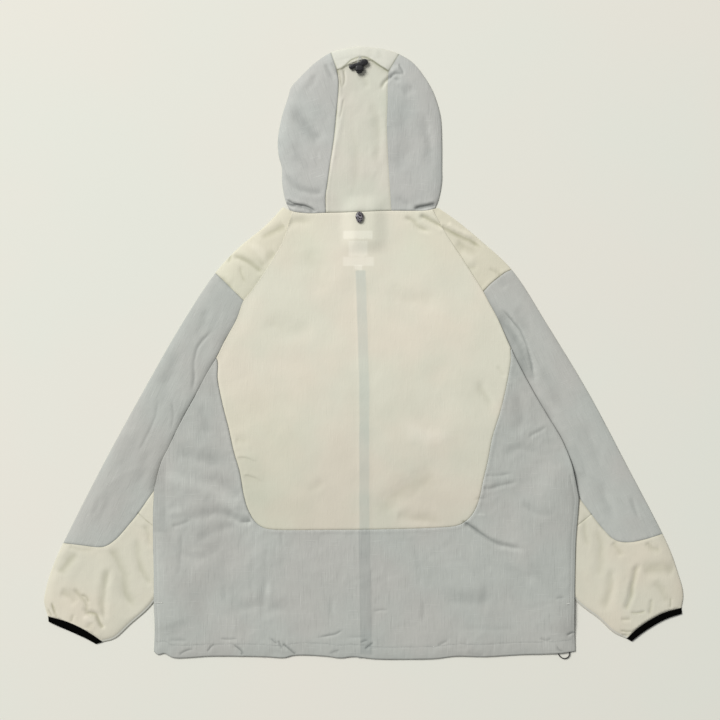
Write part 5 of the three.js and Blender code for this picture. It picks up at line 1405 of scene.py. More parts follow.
# ---------------------------------------------------------------- body: the back
FINE, RIM = 2.75, 2.2
outline = body_outline(RIM)
seams_near = np.vstack([
    beside(yoke_cut, (-2.6, -1.2, -0.5, 0.5, 1.2, 2.6), 2.4),
    beside(HEM_CASING, (-1.9, -0.7, 0, 0.7, 1.9), 2.4),
])
rims = np.vstack([
    beside(left_cut, (0.35, 0.9, 1.8, 3.0), 2.4), beside(right_cut, (0.35, 0.9, 1.8, 3.0), 2.4),
    beside(hem_cut, (0.35, 0.9, 1.8, 3.0), 2.4), beside(neck_cut, (0.5, 1.3, 2.6), 2.4),
])
zip_points = np.array([(float(zip_x(y)) + o, y) for y in np.arange(-500, 138, 2.6) for o in (-10.4, -9.2, -8.0, -6.8, 6.8, 8.0, 9.2, 10.4)])
label_points = np.array([(x, y) for x in np.arange(-38, 20, 1.7) for y in np.arange(134, 204, 1.7)])
side_lines = np.vstack([
    beside(SIDE_SEAM_RIGHT, (-0.8, 0, 0.8), 2.4), beside(SIDE_SEAM_RIGHT_2, (-0.8, 0, 0.8), 2.4),
    beside(SIDE_SEAM_LEFT, (-0.8, 0, 0.8), 2.4),
])
yoke_fixed = resample(yoke_cut, RIM)
grid = lattice((-360, 366, -510, 252), FINE, outline)
extra = sow(np.vstack([outline, yoke_fixed]), [
    (rims, 0.42), (seams_near, 0.42), (crease_points("back"), 0.75), (side_lines, 0.7),
    (zip_points, 1.0), (label_points, 1.4), (grid, 1.75),
], outline)
back_v, back_t, back_label = arrange(outline, [yoke_fixed], extra)

back_pieces = {}
for name, probe, upper in (("back_upper", (0, 60), True), ("back_lower", (0, -400), False)):
    v, t = piece_at(back_v, back_t, back_label, probe)
    v = inset_edges(v, t, 0.07)
    top = body_surface(v[:, 0], v[:, 1], upper)
    co, faces = sheet_shell(v, t, top, top - CLOTH)
    obj = make_object(name + "_cloth", co, faces)
    tone = body_tone(co[:, 0], co[:, 1], upper)
    finish_piece(obj, name, ivory_body if upper else grey_body, tone)
    declare_sheet(obj, v, t, 1)
    back_pieces[name] = (v, t, top)

# ---------------------------------------------------------------- body: the fronts
slits = [np.array([(s * SLIT, y) for y in np.arange(-520, 262, 4.0)]) for s in (-1, 1)]
COARSE = 6.0
front_outline = body_outline(4.0)


def trim(line, ring):
    """The longest stretch of a line inside a closed ring, ending exactly on it."""
    closed = np.vstack([ring, ring[:1]])
    line = np.asarray(line, float)
    cum = np.r_[0, np.cumsum(np.hypot(*np.diff(line, axis=0).T))]
    at = [(0.0, line[0]), (cum[-1], line[-1])]
    for i in range(len(line) - 1):
        p, r = line[i], line[i + 1] - line[i]
        q, s = closed[:-1], closed[1:] - closed[:-1]
        den = r[0] * s[:, 1] - r[1] * s[:, 0]
        den = np.where(np.abs(den) < 1e-12, 1e-12, den)
        w = q - p
        t = (w[:, 0] * s[:, 1] - w[:, 1] * s[:, 0]) / den
        u = (w[:, 0] * r[1] - w[:, 1] * r[0]) / den
        for j in np.where((t >= -1e-9) & (t <= 1 + 1e-9) & (u >= -1e-9) & (u <= 1 + 1e-9))[0]:
            at.append((cum[i] + float(t[j]) * (cum[i + 1] - cum[i]), p + t[j] * r))
    at.sort(key=lambda e: e[0])
    best = None
    for (r0, p0), (r1, p1) in zip(at[:-1], at[1:]):
        if r1 - r0 < 0.5:
            continue
        m = (r0 + r1) / 2
        mid = np.array([np.interp(m, cum, line[:, 0]), np.interp(m, cum, line[:, 1])])
        if inside(mid[:1], mid[1:], ring)[0] and (best is None or r1 - r0 > best[1] - best[0]):
            best = (r0, r1, p0, p1)
    r0, r1, p0, p1 = best
    keep = (cum > r0 + 1e-6) & (cum < r1 - 1e-6)
    return np.vstack([p0, line[keep], p1])


front_outline_full = front_outline
slit_cuts = [trim(s, front_outline_full) for s in slits]
front_yoke = resample(yoke_cut, 4.0)
front_extra = sow(np.vstack([front_outline, front_yoke, *slit_cuts]), [
    (np.vstack([beside(c, (-1.6, 1.6), 4.5) for c in (left_cut, right_cut, hem_cut, yoke_cut)]), 1.0),
    (lattice((-360, 366, -510, 252), COARSE, front_outline), 3.4),
], front_outline)
front_v, front_t, front_label = arrange(front_outline, [front_yoke, *slit_cuts], front_extra)


def front_faces(x, y):
    """Outer (under) and inner heights of the fronts."""
    low = underside(x, y)
    dl, dr, dh, dn = edge_distances(x, y)
    d = np.minimum(np.minimum(dl, dr), dh)
    crumple = 0.16 * ridged(x, y, 60, 81, 2) + 0.12 * ridged(x, y, 27, 82, 3)
    outer = low + crumple * smooth(0, 12, d) + 0.22 * rounded_drop(np.minimum(d, dn), 1.6)
    yd, _, _, _ = to_line(x, y, yoke_cut, 12)
    outer = outer + 0.22 * np.exp(-((np.minimum(yd, 50) / 1.2) ** 2))
    zd = np.abs(np.abs(x) - SLIT)
    outer = outer + 0.2 * np.exp(-((zd / 0.9) ** 2)) + 0.14 * np.exp(-(((zd - 5.5) / 0.8) ** 2))
    return outer, np.maximum(outer + 0.62, low + 0.9)


for name, probe in (
    ("front_upper_left", (-80, 60)), ("front_upper_right", (80, 60)),
    ("front_lower_left", (-80, -400)), ("front_lower_right", (80, -400)),
):
    v, t = piece_at(front_v, front_t, front_label, probe)
    # the slit between the fronts stays open over the zip
    t = t[v[t].mean(axis=1)[:, 0] * np.sign(probe[0]) > SLIT]
    used = np.unique(t)
    v, t = v[used], np.searchsorted(used, t)
    v = inset_edges(v, t, 0.1)
    low, high = front_faces(v[:, 0], v[:, 1])
    co, faces = sheet_shell(v, t, high, low)
    obj = make_object(name + "_cloth", co, faces)
    upper = "upper" in name
    finish_piece(obj, name, ivory_body if upper else grey_body)
    declare_sheet(obj, v, t, 1)

# ---------------------------------------------------------------- zip
tape_y = np.arange(-502.5, 231.6, 4.0)
tape_co, tape_faces = [], []
for side in (-1, 1):
    xs = np.array([0.35, 1.2, 3.0, 6.0, 9.0, 9.8]) * side
    gx, gy = np.meshgrid(xs, tape_y)
    low = underside(np.zeros(gx.size), gy.ravel()) * 0 + underside(gx.ravel(), gy.ravel()) + 1.32
    rib = 0.12 * np.cos((np.abs(gx.ravel()) - 6) / 3 * math.pi)
    top = low + 0.55 + rib * 0.5
    n, cols, rows = gx.size, len(xs), len(tape_y)
    tri = []
    for j in range(rows - 1):
        for i in range(cols - 1):
            a, b, c, d = j * cols + i, j * cols + i + 1, (j + 1) * cols + i + 1, (j + 1) * cols + i
            tri += [(a, b, c), (a, c, d)] if side > 0 else [(a, c, b), (a, d, c)]
    co, faces = sheet_shell(np.c_[gx.ravel(), gy.ravel()], np.array(tri), top, low)
    tape_faces.append(faces + sum(len(c) for c in tape_co))
    tape_co.append(co)
zip_tape = make_object("zip_tape_woven", np.vstack(tape_co), np.vstack(tape_faces))
finish_piece(zip_tape, "zip_tape", tape_material)

tooth_co, tooth_faces = [], []
PITCH = 1.45
tooth = []
for z, grow in ((0.0, 0.78), (0.22, 1.0), (0.72, 1.0), (0.94, 0.78)):
    for a in range(8):
        ang = (a + 0.5) / 8 * 2 * math.pi
        r = 1.0 / max(abs(math.cos(ang)), abs(math.sin(ang))) ** 0.55
        tooth.append((1.45 * grow * math.cos(ang) * r * 0.86, 0.62 * grow * math.sin(ang) * r * 0.86, z))
tooth = np.array(tooth)
tooth_tri = []
for ring in range(3):
    for a in range(8):
        b = (a + 1) % 8
        p, q, r, s = ring * 8 + a, ring * 8 + b, (ring + 1) * 8 + b, (ring + 1) * 8 + a
        tooth_tri += [(p, q, r), (p, r, s)]
for a in range(1, 7):
    tooth_tri += [(0, a + 1, a), (24, 24 + a, 25 + a)]
tooth_tri = np.array(tooth_tri)
for i, y in enumerate(np.arange(-502.6, 212.9, PITCH)):
    side = 1 if i % 2 else -1
    z = float(underside(np.array([0.0]), np.array([y]))[0]) + 0.02
    tooth_co.append(tooth + (side * 1.15, y, z))
    tooth_faces.append(tooth_tri + i * len(tooth))
zip_chain = make_object("zip_chain_teeth", np.vstack(tooth_co), np.vstack(tooth_faces), 40)
finish_piece(zip_chain, "zip_chain", chain_material)


def rounded_plate(outline2d, z0, z1, bevel, steps=3):
    """A plate with rounded rims over a closed outline: points and triangles."""
    p = np.asarray(outline2d, float)
    d = (np.roll(p, -1, 0) - np.roll(p, 1, 0))
    n = np.c_[d[:, 1], -d[:, 0]] / np.maximum(np.hypot(d[:, 0], d[:, 1]), 1e-9)[:, None]
    rings = []
    for k in range(steps + 1):
        a = math.pi / 2 * k / steps
        rings.append(np.c_[p - n * bevel * (1 - math.sin(a)), np.full(len(p), z0 + bevel * (1 - math.cos(a)))])
    for k in range(steps, -1, -1):
        a = math.pi / 2 * k / steps
        rings.append(np.c_[p - n * bevel * (1 - math.sin(a)), np.full(len(p), z1 - bevel * (1 - math.cos(a)))])
    co = np.vstack(rings)
    m, tri = len(p), []
    for k in range(len(rings) - 1):
        for i in range(m):
            j = (i + 1) % m
            a, b, c, d_ = k * m + i, k * m + j, (k + 1) * m + j, (k + 1) * m + i
            tri += [(a, b, c), (a, c, d_)]
    last = (len(rings) - 1) * m
    co = np.vstack([co, [*p.mean(0), z0], [*p.mean(0), z1]])
    for i in range(m):
        j = (i + 1) % m
        tri += [(j, i, len(co) - 2), (last + i, last + j, len(co) - 1)]
    return co, np.array(tri)


def super_outline(w, h, power=3.0, n=36, x=0.0, y=0.0, turn=0.0, taper=0.0):
    out = []
    for k in range(n):
        a = 2 * math.pi * k / n
        c, s = math.cos(a), math.sin(a)
        u = w / 2 * abs(c) ** (2 / power) * (1 if c >= 0 else -1)
        v = h / 2 * abs(s) ** (2 / power) * (1 if s >= 0 else -1)
        u *= 1 - taper * v / (h / 2)
        out.append((x + u * math.cos(turn) - v * math.sin(turn), y + u * math.sin(turn) + v * math.cos(turn)))
    return np.array(out)


def join_parts(parts):
    co, faces, n = [], [], 0
    for c, f in parts:
        co.append(c)
        faces.append(f + n)
        n += len(c)
    return np.vstack(co), np.vstack(faces)


SLIDER_Y = 220.0
slider_parts = [
    rounded_plate(super_outline(8.9, 11.8, 3.2, 40, 0, SLIDER_Y, 0, 0.14), 4.35, 5.15, 0.3),
    rounded_plate(super_outline(8.6, 11.4, 3.2, 40, 0, SLIDER_Y, 0, 0.14), 2.95, 3.65, 0.3),
    rounded_plate(super_outline(2.6, 4.4, 2.4, 24, 0, SLIDER_Y + 3.2), 3.4, 4.6, 0.2),
    rounded_plate(super_outline(2.3, 1.3, 4, 20, 0, SLIDER_Y + 3.8), 0.7, 3.2, 0.2),
    rounded_plate(super_outline(2.3, 1.3, 4, 20, 0, SLIDER_Y - 3.8), 0.7, 3.2, 0.2),
    rounded_plate(super_outline(2.3, 8.9, 4, 28, 0, SLIDER_Y), 0.35, 1.05, 0.28),
]
slider = make_object("zip_slider_body", *join_parts(slider_parts), 40)
finish_piece(slider, "zip_slider", metal_material)


def framed_tab():
    """The pull: a bar through the slider's bridge, two arms and a rounded tab with a long hole."""
    outer, inner = [], []
    y0, y1 = SLIDER_Y + 0.55, SLIDER_Y - 26.0
    for k in range(64):
        a = 2 * math.pi * k / 64
        c, s = math.cos(a), math.sin(a)
        half, mid = (y0 - y1) / 2, (y0 + y1) / 2
        u = 3.0 * abs(c) ** (2 / 4.6) * (1 if c >= 0 else -1)
        v = half * abs(s) ** (2 / 4.6) * (1 if s >= 0 else -1)
        outer.append((u, mid + v))
    def ring(cx, cy, w, h, power, n=64):
        return super_outline(w, h, power, n, cx, cy)
    z = 2.0
    t = 0.6
    outer = np.array(outer)
    parts = []
    # upper opening, which the bridge passes through, and the lower, decorative slot
    def band(out, hole):
        rings = []
        for zz, pts in ((z - t, out), (z + t, out), (z + t, hole), (z - t, hole)):
            rings.append(np.c_[pts, np.full(len(pts), zz)])
        co = np.vstack(rings)
        m, tri = len(out), []
        for k in range(4):
            for i in range(m):
                j = (i + 1) % m
                a, b = k * m + i, k * m + j
                c, d = ((k + 1) % 4) * m + j, ((k + 1) % 4) * m + i
                tri += [(a, b, c), (a, c, d)]
        return co, np.array(tri)
    top_out = ring(0, SLIDER_Y - 2.9, 6.0, 6.9, 4.2)
    top_hole = ring(0, SLIDER_Y - 2.9, 3.9, 4.6, 4.2)
    parts.append(band(top_out, top_hole))
    tab_out = ring(0, SLIDER_Y - 16.1, 6.0, 19.8, 4.2)
    tab_hole = ring(0, SLIDER_Y - 19.5, 2.6, 8.4, 3.0)
    parts.append(band(tab_out, tab_hole))
    return join_parts(parts)


pull = make_object("zip_pull_tab", *framed_tab(), 40)
finish_piece(pull, "zip_pull", metal_material, body="pull_tab")

# ---------------------------------------------------------------- blank labels, inside the back
for name, (x0, x1, y0, y1) in LABELS.items():
    ring = [(x0, y0), (x1, y0), (x1, y1), (x0, y1)]
    if name == "care_label_lower":
        tx0, tx1, ty0, _ = LABEL_TAB
        ring = [(x0, y0), (tx0, y0), (tx0, ty0), (tx1, ty0), (tx1, y0), (x1, y0), (x1, y1), (x0, y1)]
    ring = resample(np.array([*ring, ring[0]], float), 2.5)[:-1]
    v, t, _ = arrange(ring, [], sow(ring, [(lattice((x0, x1, min(y0, 137), y1), 3.0, ring), 1.6)], ring))
    top = body_top(v[:, 0], v[:, 1]) - CLOTH - 0.75
    co, faces = sheet_shell(v, t, top, top - 0.4)
    obj = make_object(name + "_tape", co, faces)
    finish_piece(obj, name, label_material)
    declare_sheet(obj, v, t, 1)

# ---------------------------------------------------------------- sleeves
MOUTH = {
    "left": [(-520.4, -443.0), (-505, -450.1), (-480.3, -460.7), (-456, -472.0), (-441.7, -480.0)],
    "right": [(524.7, -429.7), (500, -437.8), (481, -447.4), (458.2, -462.2), (440.9, -475.7)],
}
sleeve_tops = {}


def rows_line(points, step=2.0):
    return spline(points, step)


for which, s in SLEEVES.items():
    body_edge = left_cut if which == "left" else right_cut[::-1]  # both from the neck down
    corner = np.array(s["rows"][0][:2], float)
    joint = np.array(s["rows"][s["armhole"] - 1][2:], float)
    arm = body_edge[body_edge[:, 1] > joint[1] + 0.5]
    arm = np.vstack([arm, joint])
    neck_part = NECK_LINE[(NECK_LINE[:, 0] > corner[0] + 0.8) & (NECK_LINE[:, 0] < arm[0, 0] - 0.8)] if which == "left" else \
        NECK_LINE[(NECK_LINE[:, 0] < corner[0] - 0.8) & (NECK_LINE[:, 0] > arm[0, 0] + 0.8)][::-1]
    neck_part = np.vstack([corner, neck_part, arm[:1]])
    outer_line = rows_line([(r[0], r[1]) for r in s["rows"]])
    inner_line = rows_line([(r[2], r[3]) for r in s["rows"][s["armhole"] - 1 :]])
    mouth = rows_line(MOUTH[which])
    loop_parts = [("neck", neck_part), ("arm", arm), ("inner", inner_line), ("mouth", mouth[::-1]), ("outer", outer_line[::-1])]

    raw_cuts = {k: rows_line(s[k]) for k in ("cap", "split", "cuff")}
    g = np.array(s["gusset"], float)
    start = g[0] + (g[0] - g[1]) / np.hypot(*(g[0] - g[1])) * 1.2
    raw_cuts["gusset"] = np.vstack([start, spline(g, 2.0)])
    full_loop = np.vstack([p[:-1] for _, p in loop_parts])
    cuts = {k: trim(c, full_loop) for k, c in raw_cuts.items()}
    ends = [cuts[k][i] for k in ("cap", "split", "cuff") for i in (0, -1)] + [cuts["gusset"][-1]]

    def loop_at(step):
        out = []
        for kind, part in loop_parts:
            r = resample(part, step)
            mine = [e for e in ends if to_line(np.array([e[0]]), np.array([e[1]]), part)[0][0] < 0.05]
            r = with_points(r, mine)
            out.append((kind, r))
        return out

    def build(step, grid_step, near, creased):
        parts = loop_at(step)
        ring = np.vstack([p[:-1] for _, p in parts])
        flip = False
        area2 = np.sum(ring[:, 0] * np.roll(ring[:, 1], -1) - np.roll(ring[:, 0], -1) * ring[:, 1])
        if area2 < 0:
            ring, flip = ring[::-1], True
        lines = [resample(cuts[k], step) for k in ("cap", "split", "cuff", "gusset")]
        for i, k in enumerate(("cap", "split", "cuff", "gusset")):
            lines[i][0], lines[i][-1] = cuts[k][0], cuts[k][-1]
        box = (ring[:, 0].min(), ring[:, 0].max(), ring[:, 1].min(), ring[:, 1].max())
        edge_parts = dict((k, p) for k, p in parts)
        groups = []
        if creased:
            groups.append((np.vstack([beside(edge_parts[k], (-3.2, -2.0, -1.1, -0.5, 0.5, 1.1, 2.0, 3.2), 2.4) for k in ("outer", "inner", "mouth")]), 0.45))
            groups.append((np.vstack([beside(p, (-2.4, -1.1, -0.5, 0.5, 1.1, 2.4), 2.4) for p in [*lines, edge_parts["arm"]]]), 0.45))
            groups.append((beside(inner_line, (3.4, 2.6, 4.2, -3.4, -2.6, -4.2), 2.4), 0.6))
            groups.append((crease_points(which), 0.75))
        else:
            groups.append((np.vstack([beside(edge_parts[k], (-2.6, -1.2, -0.5, 0.5, 1.2, 2.6), 4.0) for k in ("outer", "inner", "mouth")]), 0.45))
        groups.append((lattice(box, grid_step, ring), near))
        extra = sow(np.vstack([ring, *lines]), groups, ring)
        return arrange(ring, lines, extra), parts

    (tv, tt, tl), top_parts = build(RIM, 2.6, 1.7, True)
    (lv, lt, ll), low_parts = build(RIM, 6.5, 3.6, False)
    outer_pts = dict(top_parts)["outer"]
    inner_pts = dict(top_parts)["inner"]
    fold_keys = set(key_of(outer_pts)) | set(key_of(inner_pts))
    # the corner where the armhole ends is on the inner edge only
    arm_keys = key_of(dict(top_parts)["arm"])[:-1]

    def low_base(x, y):
        return np.where(y > 150, underside(x, y), 0.0)

    def middle(x, y):
        return low_base(x, y) + 0.75

    def fold_distance(x, y):
        do, _, _, _ = to_line(x, y, outer_line, 70)
        di, _, _, _ = to_line(x, y, inner_line, 70)
        return np.minimum(do, 99), np.minimum(di, 99)

    def top_height(x, y, which=which, s=s, cuts=cuts, arm=arm, mouth=mouth, inner_line=inner_line):
        do, di = fold_distance(x, y)
        d = np.minimum(do, di)
        seed = 100 if which == "left" else 140
        turn = math.radians(s["grain"])
        gu, gv = x * math.cos(turn) + y * math.sin(turn), y * math.cos(turn) - x * math.sin(turn)
        calm_end = 0.35 + 0.65 * smooth(-330, -280, y) * smooth(150, 90, y)
        full = SLEEVE_STACK + smooth(0, 26, d) * (
            1.0 * noise(gu, gv, 80, seed, 150) + 0.5 * noise(gu, gv, 40, seed + 1, 80) + calm_end * 0.26 * noise(gu, gv, 20, seed + 2, 40)
        )
        high = EDGE_THIN + (full - EDGE_THIN) * rise(d, 10.0)
        hidden = near_hidden(x, y)
        flat = UNDER_BODY + 1.5 * smooth(28, 75, hidden)
        limit = np.where(y < -150, flat + smooth(-230, -150, y) * 3, 99.0)
        high = np.minimum(high, limit)
        da, _, _, _ = to_line(x, y, arm, 40)
        da = np.minimum(da, 99)
        sink = (0.5 + 1.9 * smooth(85, 10, y)) * (1 + 0.5 * noise(x, y, 30, seed + 12))
        high = high - sink * np.exp(-da / 5.5) * smooth(0, 9, di + 2)
        fold = creases(x, y, which)
        fold = fold * smooth(0, 6, da + 2) * np.where(hidden < 1, 0, 1)
        high = high + fold
        high = high + seam(x, y, cuts["cap"], 0.75, 1.1, allow=0.35, allow_width=5, pucker=0.32, wave=9, reach=9, seed=seed + 3)
        high = high + seam(x, y, cuts["split"], 0.85, 1.15, allow=0.0, pucker=0.34, wave=9, reach=10, seed=seed + 4)
        high = high + seam(x, y, cuts["gusset"], 0.6, 1.0, pucker=0.2, wave=9, reach=8, seed=seed + 5)
        high = high + seam(x, y, cuts["cuff"], 0.0, 1.0, pucker=0.42, wave=12, reach=13, seed=seed + 6, both=1.0)
        high = high + seam(x, y, arm, 0, 1, pucker=0.30, wave=13, reach=13, seed=seed + 7)
        high = high + seam(x, y, outer_line, 0, 1, pucker=0.22, wave=17, reach=10, seed=seed + 8)
        grey = inside(x, y, full_loop) & (y > -300)
        high = high + smooth(0, 12, d) * (
            (0.20 - 0.08 * smooth(-290, -340, y)) * crinkle(x, y, 23, seed + 9, s["grain"], 2.2) + 0.06 * noise(x, y, 11, seed + 10)
        )
        # a second line inside the lower inner edge, where the under layer's edge shows
        line_in = groove(x, y, offset_inner, 0.75, 0.75)
        high = high + line_in
        # the binding is a thicker, rounded band
        dm, _, _, _ = to_line(x, y, mouth, 40)
        dc, _, _, _ = to_line(x, y, cuts["cuff"], 40)
        band = (dm < 14) & (dm + dc < 13.5)
        across = dm / np.maximum(dm + dc, 1e-6)
        bulge = 0.8 * np.sqrt(np.maximum(0, 1 - (2 * across - 1) ** 2))
        high = np.where(band, np.minimum(high, 2.2 + 0.3 * noise(x, y, 22, seed + 11)) + bulge, high)
        low = low_base(x, y)
        high = soft_floor(high, 2 * CLOTH + 0.3, 0.22)
        z = low + high
        mid = low + 0.75
        r = 2.4
        u = 1 - np.clip(d / r, 0, 1)
        return mid + 0.08 + (z - mid - 0.08) * np.sqrt(np.maximum(0, 1 - u * u))

    def low_height(x, y, which=which, cuts=cuts):
        do, di = fold_distance(x, y)
        d = np.minimum(do, di)
        low = low_base(x, y)
        seed = 180 if which == "left" else 190
        z = low + smooth(0, 10, d) * (0.15 * ridged(x, y, 44, seed, 2) + 0.1 * ridged(x, y, 20, seed + 1, 3))
        for k in ("cap", "split", "gusset", "cuff"):
            dk, _, _, _ = to_line(x, y, cuts[k], 10)
            z = z + 0.3 * np.exp(-((np.minimum(dk, 50) / 1.2) ** 2))
        mid = low + 0.75
        u = 1 - np.clip(d / 2.4, 0, 1)
        return mid - 0.08 - (mid - 0.08 - z) * np.sqrt(np.maximum(0, 1 - u * u))

    lower_inner = inner_line[inner_line[:, 1] < -404]
    dd = np.gradient(lower_inner, axis=0)
    nn = np.c_[-dd[:, 1], dd[:, 0]] / np.hypot(dd[:, 0], dd[:, 1])[:, None]
    sign = 1 if inside(*(lower_inner[5] + nn[5] * 4)[:, None], full_loop)[0] else -1
    offset_inner = lower_inner + nn * sign * 3.4

    sleeve_tops[which] = {"cuts": cuts, "arm": arm, "mouth": mouth, "inner": inner_line, "outer": outer_line, "ring": full_loop, "height": top_height}
    kinds = {
        "cap": (ivory_shoulder, "ivory_nylon"), "main": (grey_sleeves[which], "grey_nylon"),
        "gusset": (ivory_sleeve, "ivory_nylon"), "lower": (ivory_sleeve, "ivory_nylon"),
        "binding": (binding_material, "black_binding"),
    }
    for kind, (material, slot_name) in kinds.items():
        node = f"cuff_binding_{which}" if kind == "binding" else f"sleeve_{kind}_{which}"
        pv, pt = piece_at(tv, tt, tl, s["probe"][kind])
        qv, qt = piece_at(lv, lt, ll, s["probe"][kind])
        zt = top_height(pv[:, 0], pv[:, 1])
        zl = low_height(qv[:, 0], qv[:, 1])
        if kind == "binding":
            zl = np.maximum(zl, 0.02)
        co, faces = wrapped_shell((pv, pt, zt), (qv, qt, zl), fold_keys, CLOTH if kind != "binding" else 0.9, middle)
        obj = make_object(node + ("_knit" if kind == "binding" else "_cloth"), co, faces)
        tone = np.ones((len(co), 3))
        # painted shade along the armhole, where the body's edge lies on the sleeve
        near_arm, _, _, _ = to_line(co[:, 0], co[:, 1], arm, 12)
        tone *= 1 - 0.17 * (np.exp(-((np.minimum(near_arm, 50) / 2.2) ** 2)) * smooth(130, 60, co[:, 1]))[:, None]
        if kind != "binding":
            n_top = 2 * len(pv)
            sx, sy = co[:n_top, 0], co[:n_top, 1]
            # painted shade in the folds, along the seams and in a band beside the armhole, with painted facet shade and
            # painted highlights on crests
            shade = creases(sx, sy, which, shade=True) * {"cap": 1.7, "main": 1.0, "gusset": 1.25, "lower": 1.35}[kind]
            shade = shade + line_shade(sx, sy, cuts["cap"], 0.12, 1.0, 12, 0.5, 311) + line_shade(sx, sy, cuts["split"], 0.16, 1.4, 12, 0.5, 312)
            shade = shade + line_shade(sx, sy, cuts["gusset"], 0.16, 0.9, 14, 0.5, 313)
            shade = shade + line_shade(sx, sy, arm, 0.10 if which == "right" else 0.05, 7.0, 40, 0.9, 315) * smooth(150, 60, sy)
            tu, tv_ = (sx * math.cos(math.radians(s["grain"])) + sy * math.sin(math.radians(s["grain"])),
                       sy * math.cos(math.radians(s["grain"])) - sx * math.sin(math.radians(s["grain"])))
            shade = shade + (0.016 if kind == "main" else 0.010) * facet_shade(tu, tv_, 17, 340 + (which == "left"), 14, 2.6)
            # painted shade along the left sleeve's outer fold, damping the rim lit from the upper left
            if which == "left":
                shade = shade + line_shade(sx, sy, outer_line, 0.07, 3.0, 40, 0.3, 316)
            tint = GREY_SHADE if kind == "main" else GREEN_SHADE
            tone[:n_top] *= 1 - np.clip(shade, -0.08, 0.42)[:, None] * tint
            # painted highlight along the right sleeve's outer fold, lifting the rim that faces away from the light
            if which == "right":
                tone[:n_top] *= 1 + line_shade(sx, sy, outer_line, 0.17, 1.3, 30, 0.3, 314)[:, None]
        if kind == "lower":
            dv, _, _, share = to_line(co[:, 0], co[:, 1], offset_inner, 8)
            dn_, _, _, _ = to_line(co[:, 0], co[:, 1], lower_inner, 8)
            between = smooth(4.0, 3.2, dn_) * smooth(0.2, 1.0, dn_)
            tone *= 1 - np.outer(between, [0.16, 0.13, 0.06])
        finish_piece(obj, node, material, tone)
        w, h = box_of(np.vstack([pv, qv]))
        total = (area_of(pv, pt) + area_of(qv, qt)) * 1e-6
        declare_sheet(obj, pv, pt, 2, size=(2 * w * MM * 1.02, h * MM), shown=total)

# ---------------------------------------------------------------- hood
hood_left = spline([(r[1], r[0]) for r in HOOD_ROWS], 2.0)
hood_right = spline([(r[2], r[0]) for r in HOOD_ROWS], 2.0)
crown = spline([(hood_left[-1][0], hood_left[-1][1]), (-4, 505.2), (hood_right[-1][0], hood_right[-1][1])], 2.0)
silhouette = np.vstack([hood_left, crown[1:-1], hood_right[::-1]])  # up the left, over the crown, down the right
neck_for_hood = spline(NECK, 2.0) + np.array([0, 0.3])
start, end = silhouette[0], silhouette[-1]
neck_mid = neck_for_hood[(neck_for_hood[:, 0] > start[0] + 2.5) & (neck_for_hood[:, 0] < end[0] - 2.5)]
start[1] = float(np.interp(start[0], neck_for_hood[:, 0], neck_for_hood[:, 1]))
end[1] = float(np.interp(end[0], neck_for_hood[:, 0], neck_for_hood[:, 1]))
silhouette[0], silhouette[-1] = start, end
hood_neck = np.vstack([end, neck_mid[::-1], start])
hood_loop = np.vstack([silhouette[:-1], hood_neck[:-1]])
if np.sum(hood_loop[:, 0] * np.roll(hood_loop[:, 1], -1) - np.roll(hood_loop[:, 0], -1) * hood_loop[:, 1]) < 0:
    hood_loop = hood_loop[::-1]

i0, i1 = 2, 9  # the brim line's two corners
brim_raw = np.vstack([
    spline(HOOD_BRIM[: i0 + 1], 2.0)[:-1], spline(HOOD_BRIM[i0 : i1 + 1], 2.0)[:-1], spline(HOOD_BRIM[i1:], 2.0),
])
brim_cut = trim(brim_raw, hood_loop)


def extended(points):
    p = np.array(points, float)
    first = p[0] + (p[0] - p[1]) / np.hypot(*(p[0] - p[1])) * 1.4
    return cut_to(np.vstack([first, spline(p, 2.0)]), np.vstack([hood_loop, hood_loop[:1]]))


seam_left, seam_right = extended(HOOD_SEAM_LEFT), extended(HOOD_SEAM_RIGHT)
face_line = []
for k in range(25):
    t = k / 24
    face_line.append((FACE["half"] * math.sin(math.pi * t) + 0.25, FACE["low"] + (FACE["high"] - FACE["low"]) * t))
for k in range(24, -1, -1):
    t = k / 24
    face_line.append((-FACE["half"] * math.sin(math.pi * t) - 0.25, FACE["low"] + (FACE["high"] - FACE["low"]) * t))
face_line = np.array(face_line)
face_ring = resample(np.vstack([face_line, face_line[:1]]), 3.0)
closed_hood = np.vstack([hood_loop, hood_loop[:1]])
centre_low = np.vstack([meet(np.array([(0.0, 226.0), (0.0, 250.0)]), closed_hood)[0], [0.0, 250.0], [0.0, FACE["low"] + 0.6]])
centre_high = np.array([(0.0, FACE["high"] - 0.6), (0.0, 470.0), (0.0, 488.6)])


def hood_parts(step):
    s = resample(silhouette, step)
    s[0], s[-1] = silhouette[0], silhouette[-1]
    s = with_points(s, [brim_cut[0], brim_cut[-1]])
    n = resample(hood_neck, step)
    n = with_points(n, [seam_left[-1], seam_right[-1], centre_low[0]])
    return s, n


def hood_ring(step):
    s, n = hood_parts(step)
    ring = np.vstack([s[:-1], n[:-1]])
    if np.sum(ring[:, 0] * np.roll(ring[:, 1], -1) - np.roll(ring[:, 0], -1) * ring[:, 1]) < 0:
        ring = ring[::-1]
    return ring, s


def pinned(line, step):
    r = resample(line, step)
    r[0], r[-1] = line[0], line[-1]
    return r


